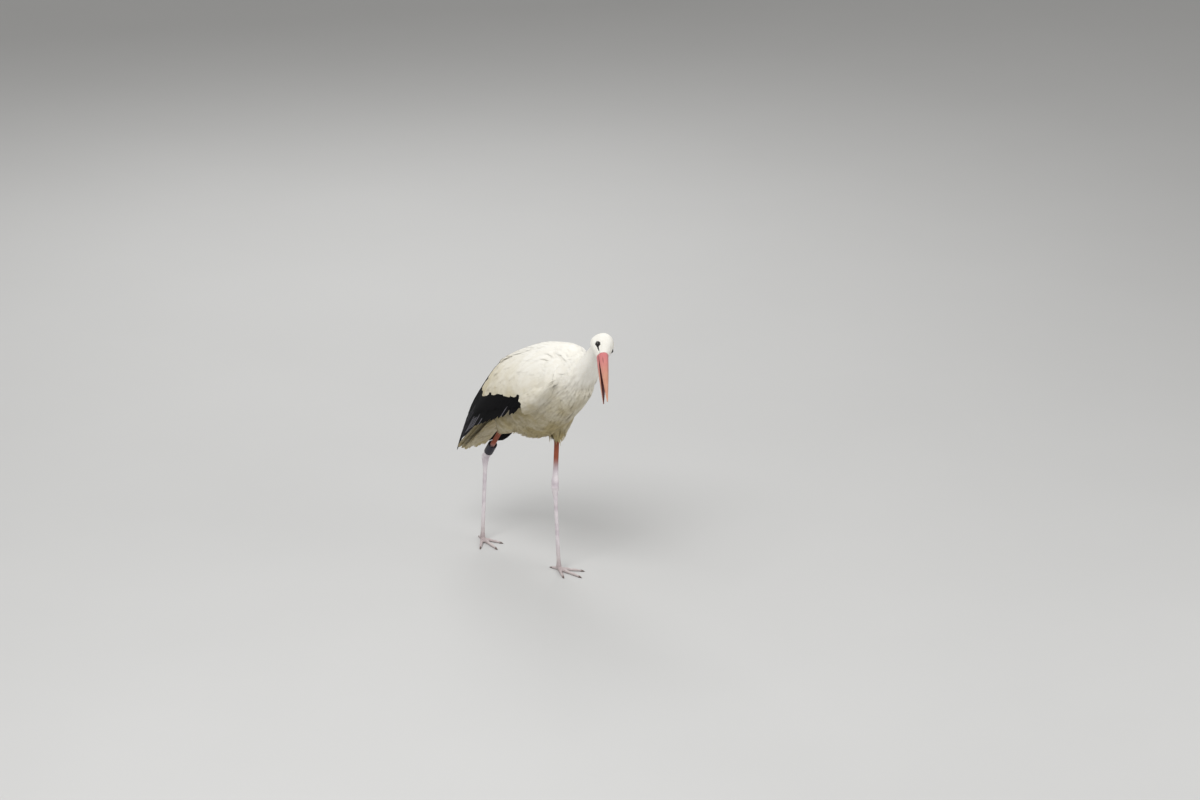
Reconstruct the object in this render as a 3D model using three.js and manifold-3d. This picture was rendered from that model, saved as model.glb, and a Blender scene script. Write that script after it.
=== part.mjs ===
// White stork (Ciconia ciconia), adult, as a still, life-size model.
//
// It walks with its left foot forward, under the breast, and its right foot behind. The trunk is
// pitched up at the front, the neck rises in a short S, and the head is turned to the bird's right,
// tipped down and rolled, with the bill a little open. One dark ring sits on the right leg.
//
// Millimetres, +Z up. The bird faces +X, its left side is +Y, and the soles lie on z = 0.
// The shapes are worked out with x = 0 at the left ankle, and at the end the whole bird is moved so
// that the middle of its box stands over the origin.
//
// The solids give the outer surface of the plumage. Each is a loft: rings set square to a smooth
// line, joined into one closed faceted skin. Where two pieces meet, one is cut by the other, grown
// by a small clearance.

import * as THREE from 'three';
import { mergeVertices } from 'three/addons/utils/BufferGeometryUtils.js';
import Module from 'manifold-3d';

const wasm = await Module();
wasm.setup();

// ---------------------------------------------------------------- driving dimensions

const CLEARANCE = 0.3;           // gap between pieces that touch

const BILL_LENGTH = 152;         // feather edge at the forehead to the tip
const BILL_WIDTH = 26;           // at its base
const UPPER_BILL_DEPTH = 15.5;   // tomium to culmen at the base
const LOWER_BILL_DEPTH = 14;
const GAPE_ANGLE = 5;            // degrees that the lower mandible hangs open
const EYE_RADIUS = 6.2;

const HEAD_YAW = -33.1;          // degrees, turned to the bird's right
const HEAD_PITCH = 26.1;         // degrees, tipped down
const HEAD_ROLL = -37;           // degrees, right side up
const BILL_BASE = [267, -48.6, 655];

const ANKLE_RADIUS = 10.6;
const TARSUS_RADIUS = 5.4;
const TIBIA_RADIUS = 6.4;
const RING_HEIGHT = 36;
const RING_OUTER = 11.6;
const RING_INNER = 9.4;
const RING_ABOVE_ANKLE = 26;     // ankle centre to the ring's lower rim, along the shin

const TOE_SPREAD = 34;           // degrees between neighbouring front toes
const TOES = {                   // length and half width of each toe, and its angle from straight on
  middle: { length: 80, half: 5.2, turn: 0 },
  inner: { length: 60, half: 4.8, turn: TOE_SPREAD },
  outer: { length: 66, half: 4.8, turn: -TOE_SPREAD },
  hind: { length: 30, half: 4.2, turn: 172 },
};
const TOE_HEIGHT = 9;
const CLAW_LENGTH = 11;

// Where the two legs stand: foot, ankle and knee, and how far the foot turns out.
const LEGS = {
  left: { foot: [9, 15], ankle: [0, 10, 222], knee: [-12, 30, 434], turn: 8, bare: 0.59 },
  right: { foot: [-273, -15], ankle: [-261, -12, 230], knee: [-127, -32, 392], turn: -8, bare: 0.62 },
};

// Stations along each soft part, each with the middle of its ring (x, y, z), then its half width
// and its depth above and below the middle; where one depth is given, it holds for both.
const TRUNK = [
  [150, 0, 572, 18, 18, 22],
  [120, 0, 562, 46, 56, 56],
  [85, 0, 543, 60, 82, 75],
  [38, 0, 517, 72, 94, 92],
  [-17, 0, 487, 79, 103, 107],
  [-73, 0, 456, 77, 103, 114],
  [-127, 0, 432, 66, 84, 104],
  [-175, 0, 417, 47, 60, 70],
  [-208, 0, 408, 30, 34, 40],
  [-226, 0, 402, 13, 14, 16],
];
const KEEL = 0.22;               // how much narrower the trunk's underside is than its middle
const NECK = [
  [70, 0, 522, 46, 50],
  [110, 0, 541, 41, 43, 40],
  [143, 0, 570, 34, 35, 27],
  [173, -1, 605, 29.5, 30.5, 20],
  [193, -3, 632, 26, 27, 19],
  [210, -8, 653, 24, 24, 20],
  [224, -17, 667, 18, 18, 18],
];
const NECK_PARTING = 0.5;        // share of the neck's line where its two lengths meet
const TAIL = [
  [-176, 0, 398, 34, 34],
  [-212, 0, 366, 38, 25],
  [-252, 0, 327, 42, 13],
  [-296, 0, 281, 44, 5.5],
  [-330, 0, 245, 43, 2.6],
  [-348, 0, 226, 36, 1.2],
];

// The head along its own axis: distance behind the bill's base, half width, height of the crown
// and depth of the chin there.
const HEAD = [
  [-64, 5, 13, 5],
  [-58, 18, 24, 14],
  [-45, 28.5, 33, 21],
  [-29, 28, 34.5, 22],
  [-15, 22.5, 27.5, 19],
  [-4, 16, 19.5, 16],
  [2, 13.5, 15.5, 14],
];
const EYE_BACK = 22;             // behind the bill's base
const EYE_OUT = 20;
const EYE_UP = 11;

// The folded left wing, from the wrist back to the tip: its upper edge (x, y, z), its lower edge
// (x, y, z), how far it bulges between them, and its thickness.
const WING = [
  [104, 42, 584, 98, 66, 546, 3, 5],
  [86, 27, 604, 78, 80, 514, 12, 15],
  [40, 16, 614, 40, 90, 474, 24, 22],
  [-25, 9, 597, -14, 95, 442, 32, 24],
  [-90, 6, 567, -85, 92, 408, 32, 21],
  [-150, 4, 535, -150, 83, 376, 28, 16],
  [-213, 3, 493, -208, 73, 347, 20, 11],
  [-266, 3, 435, -256, 63, 322, 13, 8],
  [-315, 3, 367, -301, 51, 290, 8, 6],
  [-339, 17, 280, -334, 41, 253, 4, 4.5],
  [-361, 22, 229, -363, 29, 216, 0.6, 2.4],
];
const BLACK_BEGINS = 0.27;       // share of the wing's length where black shows at its lower edge
const WHITE_ENDS = 0.6;          // and where the last white coverts end at its upper edge
const TIPS_BEGIN = 0.78;         // and where only the primaries are left
const COVERT_STEP = 2.5;         // how far the coverts stand over the flight feathers

// ---------------------------------------------------------------- helpers

const V = (x, y, z) => new THREE.Vector3(x, y, z);
const UP = V(0, 0, 1);
const FORWARD = V(1, 0, 0);
const radians = THREE.MathUtils.degToRad;
const { lerp, smoothstep } = THREE.MathUtils;

const COLOURS = {
  white: [0xf3f1ea, 0.85],
  black: [0x17161a, 0.6],
  billRed: [0xd9776a, 0.45],
  legRed: [0xb9553f, 0.6],
  legPale: [0xddd0d6, 0.65],
  clawDark: [0x4a3a36, 0.5],
  eyeDark: [0x0d0b0c, 0.1],
  ringDark: [0x2b2838, 0.4],
};

function material([color, roughness]) {
  return new THREE.MeshStandardMaterial({ color, roughness, metalness: 0 });
}

// Numbers that change smoothly along a part: row i of the table is reached at t = i / (rows - 1).
function track(rows, column) {
  const points = rows.map((row) => V(...row.slice(column, column + 3)));
  const curve = new THREE.CatmullRomCurve3(points, false, 'catmullrom', 0.5);
  return (t) => curve.getPoint(t);
}

// One closed skin over a stack of rings, each with the same number of points. A ladder of faces,
// from each point to the one opposite, closes each end, and suits a crescent as well as an oval.
function skinned(rings) {
  const sides = rings[0].length;
  const last = (rings.length - 1) * sides;
  const faces = [];
  for (let i = 0; i < rings.length - 1; i++) {
    for (let j = 0; j < sides; j++) {
      const a = i * sides + j;
      const b = i * sides + ((j + 1) % sides);
      faces.push(a, b, b + sides, a, b + sides, a + sides);
    }
  }
  for (let low = 0, high = sides - 1; high - low > 1; low++, high--) {
    faces.push(low, high, low + 1, last + low, last + low + 1, last + high);
    if (high - low > 2) {
      faces.push(low + 1, high, high - 1, last + low + 1, last + high - 1, last + high);
    }
  }
  const geometry = new THREE.BufferGeometry().setFromPoints(rings.flat());
  geometry.setIndex(faces);
  return outward(geometry);
}

// The same geometry with its faces pointing out: a negative volume means that they point in.
function outward(geometry) {
  const at = geometry.attributes.position;
  const index = Array.from(geometry.index.array);
  const corner = (k) => new THREE.Vector3().fromBufferAttribute(at, index[k]);
  let volume = 0;
  for (let k = 0; k < index.length; k += 3) {
    volume += corner(k).dot(corner(k + 1).cross(corner(k + 2)));
  }
  if (volume < 0) index.reverse();
  geometry.setIndex(index);
  return geometry;
}

// A loft along a line: rows hold the ring's middle and its half sizes, and the rings stand square
// to the line with their depth towards the direction given.
function loft(rows, { upwards = UP, sides = 20, steps = 14, from = 0, to = 1, keel = 0 } = {}) {
  const place = track(rows, 0);
  const size = track(rows.map(([, , , w, above, below = above]) => [w, above, below]), 0);
  const rings = [];
  for (let i = 0; i <= steps; i++) {
    const t = lerp(from, to, i / steps);
    const ahead = place(Math.min(t + 0.01, 1)).sub(place(Math.max(t - 0.01, 0))).normalize();
    const depth = upwards.clone().addScaledVector(ahead, -upwards.dot(ahead)).normalize();
    const width = depth.clone().cross(ahead);
    const { x: half, y: above, z: below } = size(t);
    rings.push(oval(place(t), width, depth, half, above, below, sides, keel));
  }
  return skinned(rings);
}

// A ring of points: an oval with one half width and two half depths, above and below its middle.
// A keel draws its lower half in towards the bottom.
function oval(middle, width, depth, half, above, below, sides, keel = 0) {
  return Array.from({ length: sides }, (_, j) => {
    const angle = (2 * Math.PI * j) / sides;
    const sine = Math.sin(angle);
    const reach = half * Math.cos(angle) * (1 + keel * Math.min(sine, 0));
    const rise = sine * (sine > 0 ? above : below);
    return middle.clone().addScaledVector(width, reach).addScaledVector(depth, rise);
  });
}

// A ring with a flat base and a round back, as on a toe or a mandible.
function dome(middle, width, depth, half, height, sides) {
  return Array.from({ length: sides + 1 }, (_, j) => {
    const angle = (Math.PI * j) / sides;
    return middle.clone()
      .addScaledVector(width, half * Math.cos(angle))
      .addScaledVector(depth, height * Math.sin(angle) ** 0.8);
  });
}

// A copy of a geometry with all its faces moved out. Each point goes along the mean of its faces'
// normals, and on a sharp edge it goes further, so that every face there clears the old one.
function grown(geometry, by = CLEARANCE) {
  const copy = geometry.clone();
  const at = copy.attributes.position;
  const index = copy.index.array;
  const around = Array.from({ length: at.count }, () => []);
  for (let k = 0; k < index.length; k += 3) {
    const [a, b, c] = [0, 1, 2].map((n) => V(0, 0, 0).fromBufferAttribute(at, index[k + n]));
    const normal = b.sub(a).cross(c.sub(a)).normalize();
    for (let n = 0; n < 3; n++) around[index[k + n]].push(normal);
  }
  around.forEach((normals, i) => {
    const mean = normals.reduce((sum, n) => sum.add(n), V(0, 0, 0)).normalize();
    const least = Math.min(...normals.map((n) => n.dot(mean)));
    const moved = V(0, 0, 0).fromBufferAttribute(at, i).addScaledVector(mean, by / Math.max(least, 0.4));
    at.setXYZ(i, moved.x, moved.y, moved.z);
  });
  return copy;
}

function toSolid(geometry) {
  const bare = geometry.clone();
  bare.deleteAttribute('normal');
  bare.deleteAttribute('uv');
  const merged = mergeVertices(bare, 1e-4);
  return new wasm.Manifold(new wasm.Mesh({
    numProp: 3,
    vertProperties: new Float32Array(merged.attributes.position.array),
    triVerts: new Uint32Array(merged.index.array),
  }));
}

function toGeometry(solid) {
  const { vertProperties, triVerts } = solid.getMesh();
  const geometry = new THREE.BufferGeometry();
  geometry.setAttribute('position', new THREE.BufferAttribute(vertProperties, 3));
  geometry.setIndex(new THREE.BufferAttribute(triVerts, 1));
  return geometry;
}

// A geometry with its neighbours, grown by the clearance, taken out of it. Where that leaves
// crumbs beside the main body, only the main body is kept.
function cut(geometry, ...neighbours) {
  const left = neighbours.reduce((solid, n) => solid.subtract(toSolid(grown(n))), toSolid(geometry));
  return toGeometry(left.decompose().sort((a, b) => b.volume() - a.volume())[0]);
}

// The same shape on the other side of the bird.
function mirrored(geometry) {
  return outward(geometry.clone().scale(1, -1, 1));
}

// ---------------------------------------------------------------- the frame of the head

const yaw = radians(HEAD_YAW);
const pitch = radians(HEAD_PITCH);
const headAhead = V(Math.cos(pitch) * Math.cos(yaw), Math.cos(pitch) * Math.sin(yaw), -Math.sin(pitch));
const headLeft = UP.clone().cross(headAhead).normalize().applyAxisAngle(headAhead, radians(HEAD_ROLL));
const headUp = headAhead.clone().cross(headLeft);
const billBase = V(...BILL_BASE);

// A point of the head: how far ahead of the bill's base, to the left and up.
function onHead(ahead, left, up) {
  return billBase.clone().addScaledVector(headAhead, ahead).addScaledVector(headLeft, left)
    .addScaledVector(headUp, up);
}

// ---------------------------------------------------------------- head, bill and eyes

function headShape() {
  const size = track(HEAD.map(([, w, above, below]) => [w, above, below]), 0);
  const place = track(HEAD.map(([back]) => [back, 0, 0]), 0);
  const steps = 10;
  const rings = Array.from({ length: steps + 1 }, (_, i) => {
    const { x: half, y: above, z: below } = size(i / steps);
    return oval(onHead(place(i / steps).x, 0, 0), headLeft, headUp, half, above, below, 16);
  });
  return skinned(rings);
}

// One mandible: a dome that tapers from the base to the tip, with its flat side at the gape.
function mandible(depth, side, opening) {
  const steps = 9;
  const reach = BILL_LENGTH * (side > 0 ? 1 : 0.975);
  const root = -7;
  const rings = Array.from({ length: steps + 1 }, (_, i) => {
    const t = i / steps;
    const taper = 1 - t ** 1.3;
    const away = lerp(root, reach, t);
    const hang = Math.tan(radians(opening)) * Math.max(away, 0) + 0.2;
    const middle = onHead(away, 0, side * hang);
    const half = 1.1 + (BILL_WIDTH / 2 - 1.1) * taper;
    const height = 1.4 + (depth - 1.4) * taper ** 0.95;
    return dome(middle, headLeft, headUp.clone().multiplyScalar(side), half, height, 8);
  });
  return skinned(rings);
}

function eyeball(side) {
  const ball = new THREE.IcosahedronGeometry(EYE_RADIUS, 1);
  ball.deleteAttribute('normal');
  ball.deleteAttribute('uv');
  const centre = onHead(-EYE_BACK, side * EYE_OUT, EYE_UP);
  return mergeVertices(ball, 1e-4).translate(centre.x, centre.y, centre.z);
}

// ---------------------------------------------------------------- wings

// Part of the folded left wing, between two shares of its length, and between two shares of its
// height at each place: 0 is the upper edge and 1 the lower. Each ring is a crescent, whose outer
// side bulges and whose inner side lies one thickness in.
function wingPatch({ from, to, steps, top, bottom, proud = 0 }) {
  const upper = track(WING, 0);
  const lower = track(WING, 3);
  const form = track(WING.map(([, , , , , , bulge, thick]) => [bulge, thick, 0]), 0);
  const arc = 6;
  const rings = Array.from({ length: steps + 1 }, (_, i) => {
    const s = lerp(from, to, i / steps);
    const high = upper(s);
    const low = lower(s);
    const { x: bulge, y: thick } = form(s);
    const out = FORWARD.clone().cross(low.clone().sub(high)).normalize();
    const at = (j, depth) => {
      const v = lerp(top(s), bottom(s), j / arc);
      const hump = 4 * v * (1 - v);
      return high.clone().lerp(low, v).addScaledVector(out, bulge * hump + depth * (0.3 + 0.7 * hump));
    };
    const outer = Array.from({ length: arc + 1 }, (_, j) => at(j, proud));
    const inner = Array.from({ length: arc + 1 }, (_, j) => at(arc - j, proud - thick));
    return [...outer, ...inner];
  });
  return skinned(rings);
}

// The border between the white coverts and the black feathers, as a share of the wing's height.
function blackBorder(s) {
  return lerp(1, 0.77, smoothstep(s, BLACK_BEGINS - 0.04, 0.36)) - 0.21 * smoothstep(s, 0.36, WHITE_ENDS);
}

const wingCoverts = wingPatch({
  from: 0, to: WHITE_ENDS, steps: 11, proud: COVERT_STEP,
  top: () => 0,
  bottom: blackBorder,
});
const wingSecondaries = cut(wingPatch({
  from: BLACK_BEGINS, to: TIPS_BEGIN, steps: 10,
  top: (s) => (s < WHITE_ENDS ? blackBorder(s) : 0),
  bottom: () => 1,
}), wingCoverts);
const wingPrimaries = cut(wingPatch({
  from: TIPS_BEGIN, to: 1, steps: 4,
  top: () => 0,
  bottom: () => 1,
}), wingSecondaries);

// ---------------------------------------------------------------- legs and feet

function shaft(stations, sides, steps) {
  return loft(stations, { upwards: FORWARD, sides, steps });
}

function between(a, b, t) {
  return a.clone().lerp(b, t).toArray();
}

// The shin below the ankle, with the round joint at its top and the knob that carries the toes.
function tarsusShape(leg) {
  const foot = V(...leg.foot, 0);
  const ankle = V(...leg.ankle);
  const profile = [
    [1.05, 3], [1.035, 8], [1, ANKLE_RADIUS], [0.945, 8.4], [0.86, 6], [0.7, TARSUS_RADIUS],
    [0.4, TARSUS_RADIUS], [0.12, 5.6], [0.06, 7.2], [0.025, 6.4],
  ];
  return shaft(profile.map(([t, r]) => [...between(foot, ankle, t), r * 0.92, r]), 10, 12);
}

// The bare lower part of the thigh's long bone, red above the ankle.
function tibiaShape(leg) {
  const ankle = V(...leg.ankle);
  const knee = V(...leg.knee);
  const profile = [
    [0, 7], [0.05, 9.4], [0.095, 8.8], [0.12, 8], [0.21, 6.9], [0.3, TIBIA_RADIUS],
    [leg.bare + 0.07, TIBIA_RADIUS],
  ];
  return shaft(profile.map(([t, r]) => [...between(ankle, knee, t), r, r * 1.05]), 10, 9);
}

// The feathered thigh: a soft cone from the hem at the bare shin up into the flank.
function thighShape(leg) {
  const ankle = V(...leg.ankle);
  const knee = V(...leg.knee);
  const hem = leg.bare;
  const profile = [
    [hem, 10], [hem + 0.08, 20], [hem + 0.2, 33], [hem + 0.32, 42], [hem + 0.44, 45], [hem + 0.54, 34],
  ];
  return shaft(profile.map(([t, r]) => [...between(ankle, knee, t), r * 0.85, r * 1.1]), 14, 6);
}

function toeFrame(leg, toe) {
  const angle = radians(leg.turn + toe.turn * (leg.foot[1] > 0 ? -1 : 1));
  const ahead = V(Math.cos(angle), Math.sin(angle), 0);
  return { ahead, across: V(-ahead.y, ahead.x, 0), root: V(...leg.foot, 0) };
}

// A toe with a flat sole: three pads, each a little swelling.
function toeShape(leg, toe) {
  const { ahead, across, root } = toeFrame(leg, toe);
  const steps = 6;
  const rings = Array.from({ length: steps + 1 }, (_, i) => {
    const t = i / steps;
    const swell = 1 + 0.1 * Math.cos(6 * Math.PI * t);
    const taper = 1 - 0.42 * t;
    const end = i === steps ? 0.6 : 1;
    const middle = root.clone().addScaledVector(ahead, lerp(1, toe.length - CLAW_LENGTH / 2, t));
    return dome(middle, across, UP, toe.half * taper * swell * end, TOE_HEIGHT * taper * swell * end, 6);
  });
  return skinned(rings);
}

// A short flat nail that starts inside the toe's end and stays clear of the ground.
function clawShape(leg, toe) {
  const { ahead, across, root } = toeFrame(leg, toe);
  const steps = 3;
  const lift = 0.5;
  const rings = Array.from({ length: steps + 1 }, (_, i) => {
    const t = i / steps;
    const middle = root.clone().addScaledVector(ahead, toe.length - CLAW_LENGTH * (1 - t)).setZ(lift);
    const half = toe.half * lerp(0.52, 0.14, t ** 1.5);
    return dome(middle, across, UP, half, lerp(4.4, 1.2, t ** 1.5), 5);
  });
  return skinned(rings);
}

// The ring: a short tube round the shin, standing on the ankle.
function ringShape(leg) {
  const ankle = V(...leg.ankle);
  const along = V(...leg.knee).sub(ankle).normalize();
  const edge = 0.6;
  const profile = [
    [RING_INNER, 0], [RING_OUTER - edge, 0], [RING_OUTER, edge], [RING_OUTER, RING_HEIGHT - edge],
    [RING_OUTER - edge, RING_HEIGHT], [RING_INNER, RING_HEIGHT], [RING_INNER, 0],
  ].map(([r, y]) => new THREE.Vector2(r, y));
  const tube = new THREE.LatheGeometry(profile, 18);
  tube.applyQuaternion(new THREE.Quaternion().setFromUnitVectors(V(0, 1, 0), along));
  const foot = ankle.addScaledVector(along, RING_ABOVE_ANKLE);
  tube.translate(foot.x, foot.y, foot.z);
  tube.deleteAttribute('normal');
  tube.deleteAttribute('uv');
  return outward(mergeVertices(tube, 1e-3));
}

// ---------------------------------------------------------------- the bird

const stork = new THREE.Group();

function add(name, geometry, colour) {
  const mesh = new THREE.Mesh(geometry, material(COLOURS[colour]));
  mesh.name = name;
  stork.add(mesh);
}

const trunk = loft(TRUNK, { steps: 15, sides: 22, keel: KEEL });
const neckSteps = { sides: 16, steps: 6 };
const neckLower = loft(NECK, { ...neckSteps, to: NECK_PARTING - 0.001 });
const neckUpper = loft(NECK, { ...neckSteps, from: NECK_PARTING + 0.001 });
const head = headShape();
const billUpper = mandible(UPPER_BILL_DEPTH, 1, 0);
const billLower = mandible(LOWER_BILL_DEPTH, -1, GAPE_ANGLE);
const eyes = { left: eyeball(1), right: eyeball(-1) };
const tail = loft(TAIL, { sides: 14, steps: 8 });
const wings = {
  left: { coverts: wingCoverts, secondaries: wingSecondaries, primaries: wingPrimaries },
  right: {
    coverts: mirrored(wingCoverts),
    secondaries: mirrored(wingSecondaries),
    primaries: mirrored(wingPrimaries),
  },
};
const wingPieces = [...Object.values(wings.left), ...Object.values(wings.right)];

add('head', cut(head, billUpper, billLower, eyes.left, eyes.right), 'white');
add('bill_upper', billUpper, 'billRed');
add('bill_lower', billLower, 'billRed');
add('neck_upper', cut(neckUpper, head), 'white');
add('neck_lower', cut(neckLower, trunk, ...wingPieces), 'white');
add('trunk', cut(trunk, ...wingPieces), 'white');
add('tail', cut(tail, trunk, ...wingPieces), 'white');

for (const side of ['left', 'right']) {
  const leg = LEGS[side];
  add(`eye_${side}`, eyes[side], 'eyeDark');
  for (const [name, patch] of Object.entries(wings[side])) {
    add(`wing_${side}_${name}`, patch, name === 'coverts' ? 'white' : 'black');
  }

  const toes = Object.entries(TOES).map(([name, toe]) => ({
    name, shape: toeShape(leg, toe), claw: clawShape(leg, toe),
  }));
  const tibia = tibiaShape(leg);
  const tarsus = tarsusShape(leg);
  add(`thigh_${side}`, cut(thighShape(leg), trunk, tibia, ...wingPieces, tail), 'white');
  add(`tibia_${side}`, cut(tibia, tarsus), 'legRed');
  add(`tarsus_${side}`, cut(tarsus, ...toes.map((toe) => toe.shape)), 'legPale');
  toes.forEach((toe, i) => {
    const before = toes.slice(0, i).map((other) => other.shape);
    add(`toe_${side}_${toe.name}`, cut(toe.shape, toe.claw, ...before), 'legPale');
    add(`claw_${side}_${toe.name}`, toe.claw, 'clawDark');
  });
}
add('leg_ring', ringShape(LEGS.right), 'ringDark');

const box = new THREE.Box3().setFromObject(stork);
const centre = box.getCenter(V(0, 0, 0));
stork.position.set(-centre.x, -centre.y, 0);
stork.updateMatrixWorld(true);

export default stork;
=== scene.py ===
# %% [markdown]
# A white stork, walking
#
# This lesson dresses a life-size white stork. The imported model already holds its solids: head, neck,
# trunk, wings, tail and legs, which reach out to the tips of the plumage. Here we give it what a
# museum shows: one skin under the feathers, feathers by the thousand, eyes with lids, a horny bill
# and scaly legs. We load the model first. Nothing may grow past it.

# %% Load the imported model
import math

import bpy
import numpy as np
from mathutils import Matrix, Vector
from mathutils.kdtree import KDTree


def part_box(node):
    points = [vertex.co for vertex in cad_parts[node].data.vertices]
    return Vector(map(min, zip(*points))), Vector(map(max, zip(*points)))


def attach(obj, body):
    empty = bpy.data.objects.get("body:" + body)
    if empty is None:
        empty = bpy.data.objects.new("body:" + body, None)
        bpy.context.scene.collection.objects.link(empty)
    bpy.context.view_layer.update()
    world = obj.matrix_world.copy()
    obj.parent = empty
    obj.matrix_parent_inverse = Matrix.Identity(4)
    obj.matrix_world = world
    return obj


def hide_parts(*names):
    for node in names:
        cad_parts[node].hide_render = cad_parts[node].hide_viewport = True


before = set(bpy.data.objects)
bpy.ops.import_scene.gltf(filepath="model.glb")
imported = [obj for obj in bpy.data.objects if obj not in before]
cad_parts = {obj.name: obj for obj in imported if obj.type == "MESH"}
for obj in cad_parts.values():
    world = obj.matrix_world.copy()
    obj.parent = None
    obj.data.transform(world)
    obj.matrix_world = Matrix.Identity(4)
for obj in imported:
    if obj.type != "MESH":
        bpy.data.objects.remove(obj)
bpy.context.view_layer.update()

# %% [markdown]
# Where things are
#
# The bird was drawn in millimetres, with its left ankle over x = 0, y = 10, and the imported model
# stands with its middle over the origin. The shift between the two comes from the ring on the right
# leg, whose middle we know in the drawing. The helper `metres` turns drawing numbers into Blender's,
# and `drawn` turns them back.

# %% Drawing numbers to metres
MM = 0.001
LEFT_ANKLE = np.array([0.0, 10.0, 222.0])
RIGHT_ANKLE = np.array([-261.0, -12.0, 230.0])
RIGHT_KNEE = np.array([-127.0, -32.0, 392.0])
RING_ABOVE_ANKLE, RING_HEIGHT = 26.0, 36.0

shin = (RIGHT_KNEE - RIGHT_ANKLE) / np.linalg.norm(RIGHT_KNEE - RIGHT_ANKLE)
ring_drawn = RIGHT_ANKLE + shin * (RING_ABOVE_ANKLE + RING_HEIGHT / 2)
ring_low, ring_high = (np.array(corner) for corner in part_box("leg_ring"))
SHIFT = (ring_low + ring_high) / 2 / MM - ring_drawn


def metres(points):
    """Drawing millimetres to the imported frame's metres."""
    return (np.asarray(points, float) + SHIFT) * MM


def drawn(points):
    """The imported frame's metres back to drawing millimetres."""
    return points / MM - SHIFT


print("shift of the drawing, mm:", SHIFT.round(2))

# %% [markdown]
# Camera, floor and light
#
# A long lens from 12 m away, 20 degrees above the bird and 52 degrees round to its right, keeps the
# proportions natural. Soft lamps stand on three sides. The floor is pale grey, so that a white bird
# still stands out from it, and the world shows a like grey to the camera.

# %% Camera
AZIMUTH, ELEVATION = math.radians(52), math.radians(20)
CAMERA_AWAY = 12.0
LENS = 144

right = Vector((math.cos(AZIMUTH), math.sin(AZIMUTH), 0))
toward = Vector((math.sin(AZIMUTH) * math.cos(ELEVATION), -math.cos(AZIMUTH) * math.cos(ELEVATION),
                 math.sin(ELEVATION)))
upward = toward.cross(right)
AIM_RIGHT, AIM_UP = 0.1125, 0.2175     # the view's middle, from the left ankle
target = Vector(metres(LEFT_ANKLE)) + right * AIM_RIGHT + upward * AIM_UP

camera = bpy.data.objects.new("camera", bpy.data.cameras.new("camera"))
bpy.context.scene.collection.objects.link(camera)
camera.data.lens, camera.data.sensor_width = LENS, 36
camera.data.clip_end = 200
camera.location = target + toward * CAMERA_AWAY
camera.rotation_euler = toward.to_track_quat("Z", "Y").to_euler()
bpy.context.scene.camera = camera
print("camera at", tuple(round(c, 3) for c in camera.location))

# %% [markdown]
# Shader maths as Python
#
# A node graph is arithmetic, so we write it as arithmetic. The class `Value` holds one socket and
# adds a Math or a Mix node when we use an operator. `Paint` is one material, and its method `node`
# makes any other node: its settings come first, and then the values or links of its sockets.

# %% Sockets that add up
class Value:
    """A node's output, on which Python's operators add Math nodes."""

    def __init__(self, paint, socket):
        self.paint, self.socket = paint, socket

    def _math(self, operation, *others, clamp=False):
        inputs = dict(enumerate((self,) + others))
        return self.paint.node("ShaderNodeMath", {"operation": operation, "use_clamp": clamp}, inputs)

    def __add__(self, other): return self._math("ADD", other)
    def __mul__(self, other): return self._math("MULTIPLY", other)
    def __sub__(self, other): return self._math("SUBTRACT", other)
    def __rsub__(self, other): return self._math("MULTIPLY_ADD", -1.0, other)
    __radd__, __rmul__ = __add__, __mul__

    def absolute(self): return self._math("ABSOLUTE")
    def sine(self): return self._math("SINE")
    def clamped(self): return self._math("ADD", 0.0, clamp=True)

    def smooth(self, low, high):
        """0 below low, 1 above high, and a smooth step between."""
        names = {"Value": self, "From Min": low, "From Max": high}
        return self.paint.node("ShaderNodeMapRange", {"interpolation_type": "SMOOTHSTEP"}, names)


class Paint:
    """A material, with its Principled shader and a short way to add nodes."""

    def __init__(self, name, **plain):
        self.material = bpy.data.materials.new(name)
        self.material.use_nodes = True
        self.tree = self.material.node_tree
        self.shader = self.tree.nodes["Principled BSDF"]
        for socket, value in plain.items():
            self.shader.inputs[socket.replace("_", " ")].default_value = value

    def node(self, kind, settings=None, inputs=None, output=0):
        """Any node: settings first, then sockets by name or number, and one of its outputs."""
        made = self.tree.nodes.new(kind)
        for name, value in (settings or {}).items():
            setattr(made, name, value)
        for name, value in (inputs or {}).items():
            self.link(made.inputs[name], value)
        return Value(self, made.outputs[output])

    def link(self, socket, value):
        if isinstance(value, Value):
            self.tree.links.new(value.socket, socket)
        else:
            socket.default_value = value

    def set(self, **sockets):
        for name, value in sockets.items():
            self.link(self.shader.inputs[name.replace("_", " ")], value)
        return self.material

    def place(self):
        """Object coordinates, in metres."""
        return self.node("ShaderNodeTexCoord", output="Object")

    def attribute(self, name):
        return self.node("ShaderNodeAttribute", {"attribute_name": name}, output="Fac")

    def noise(self, vector, scale, detail=3.0, roughness=0.5):
        return self.node("ShaderNodeTexNoise", None,
                         {"Vector": vector, "Scale": scale, "Detail": detail, "Roughness": roughness})

    def mix(self, factor, first, second):
        """Between two colours."""
        settings = {"data_type": "RGBA", "clamp_factor": True}
        return self.node("ShaderNodeMix", settings, {0: factor, 6: first, 7: second}, output=2)

    def bump(self, height, distance, strength=1.0, normal=None):
        inputs = {"Height": height, "Distance": distance, "Strength": strength}
        if normal is not None:
            inputs["Normal"] = normal
        return self.node("ShaderNodeBump", None, inputs)


def colour(text):
    """A colour written as six hex digits, made linear, with full alpha."""
    parts = [int(text[i:i + 2], 16) / 255 for i in (0, 2, 4)]
    return tuple(c / 12.92 if c <= 0.04045 else ((c + 0.055) / 1.055) ** 2.4 for c in parts) + (1.0,)


print("808080 made linear:", [round(c, 3) for c in colour("808080")])

# %% Floor, world and lamps
FLOOR_GREY = 0.52
WORLD_STRENGTH = 0.40


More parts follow.
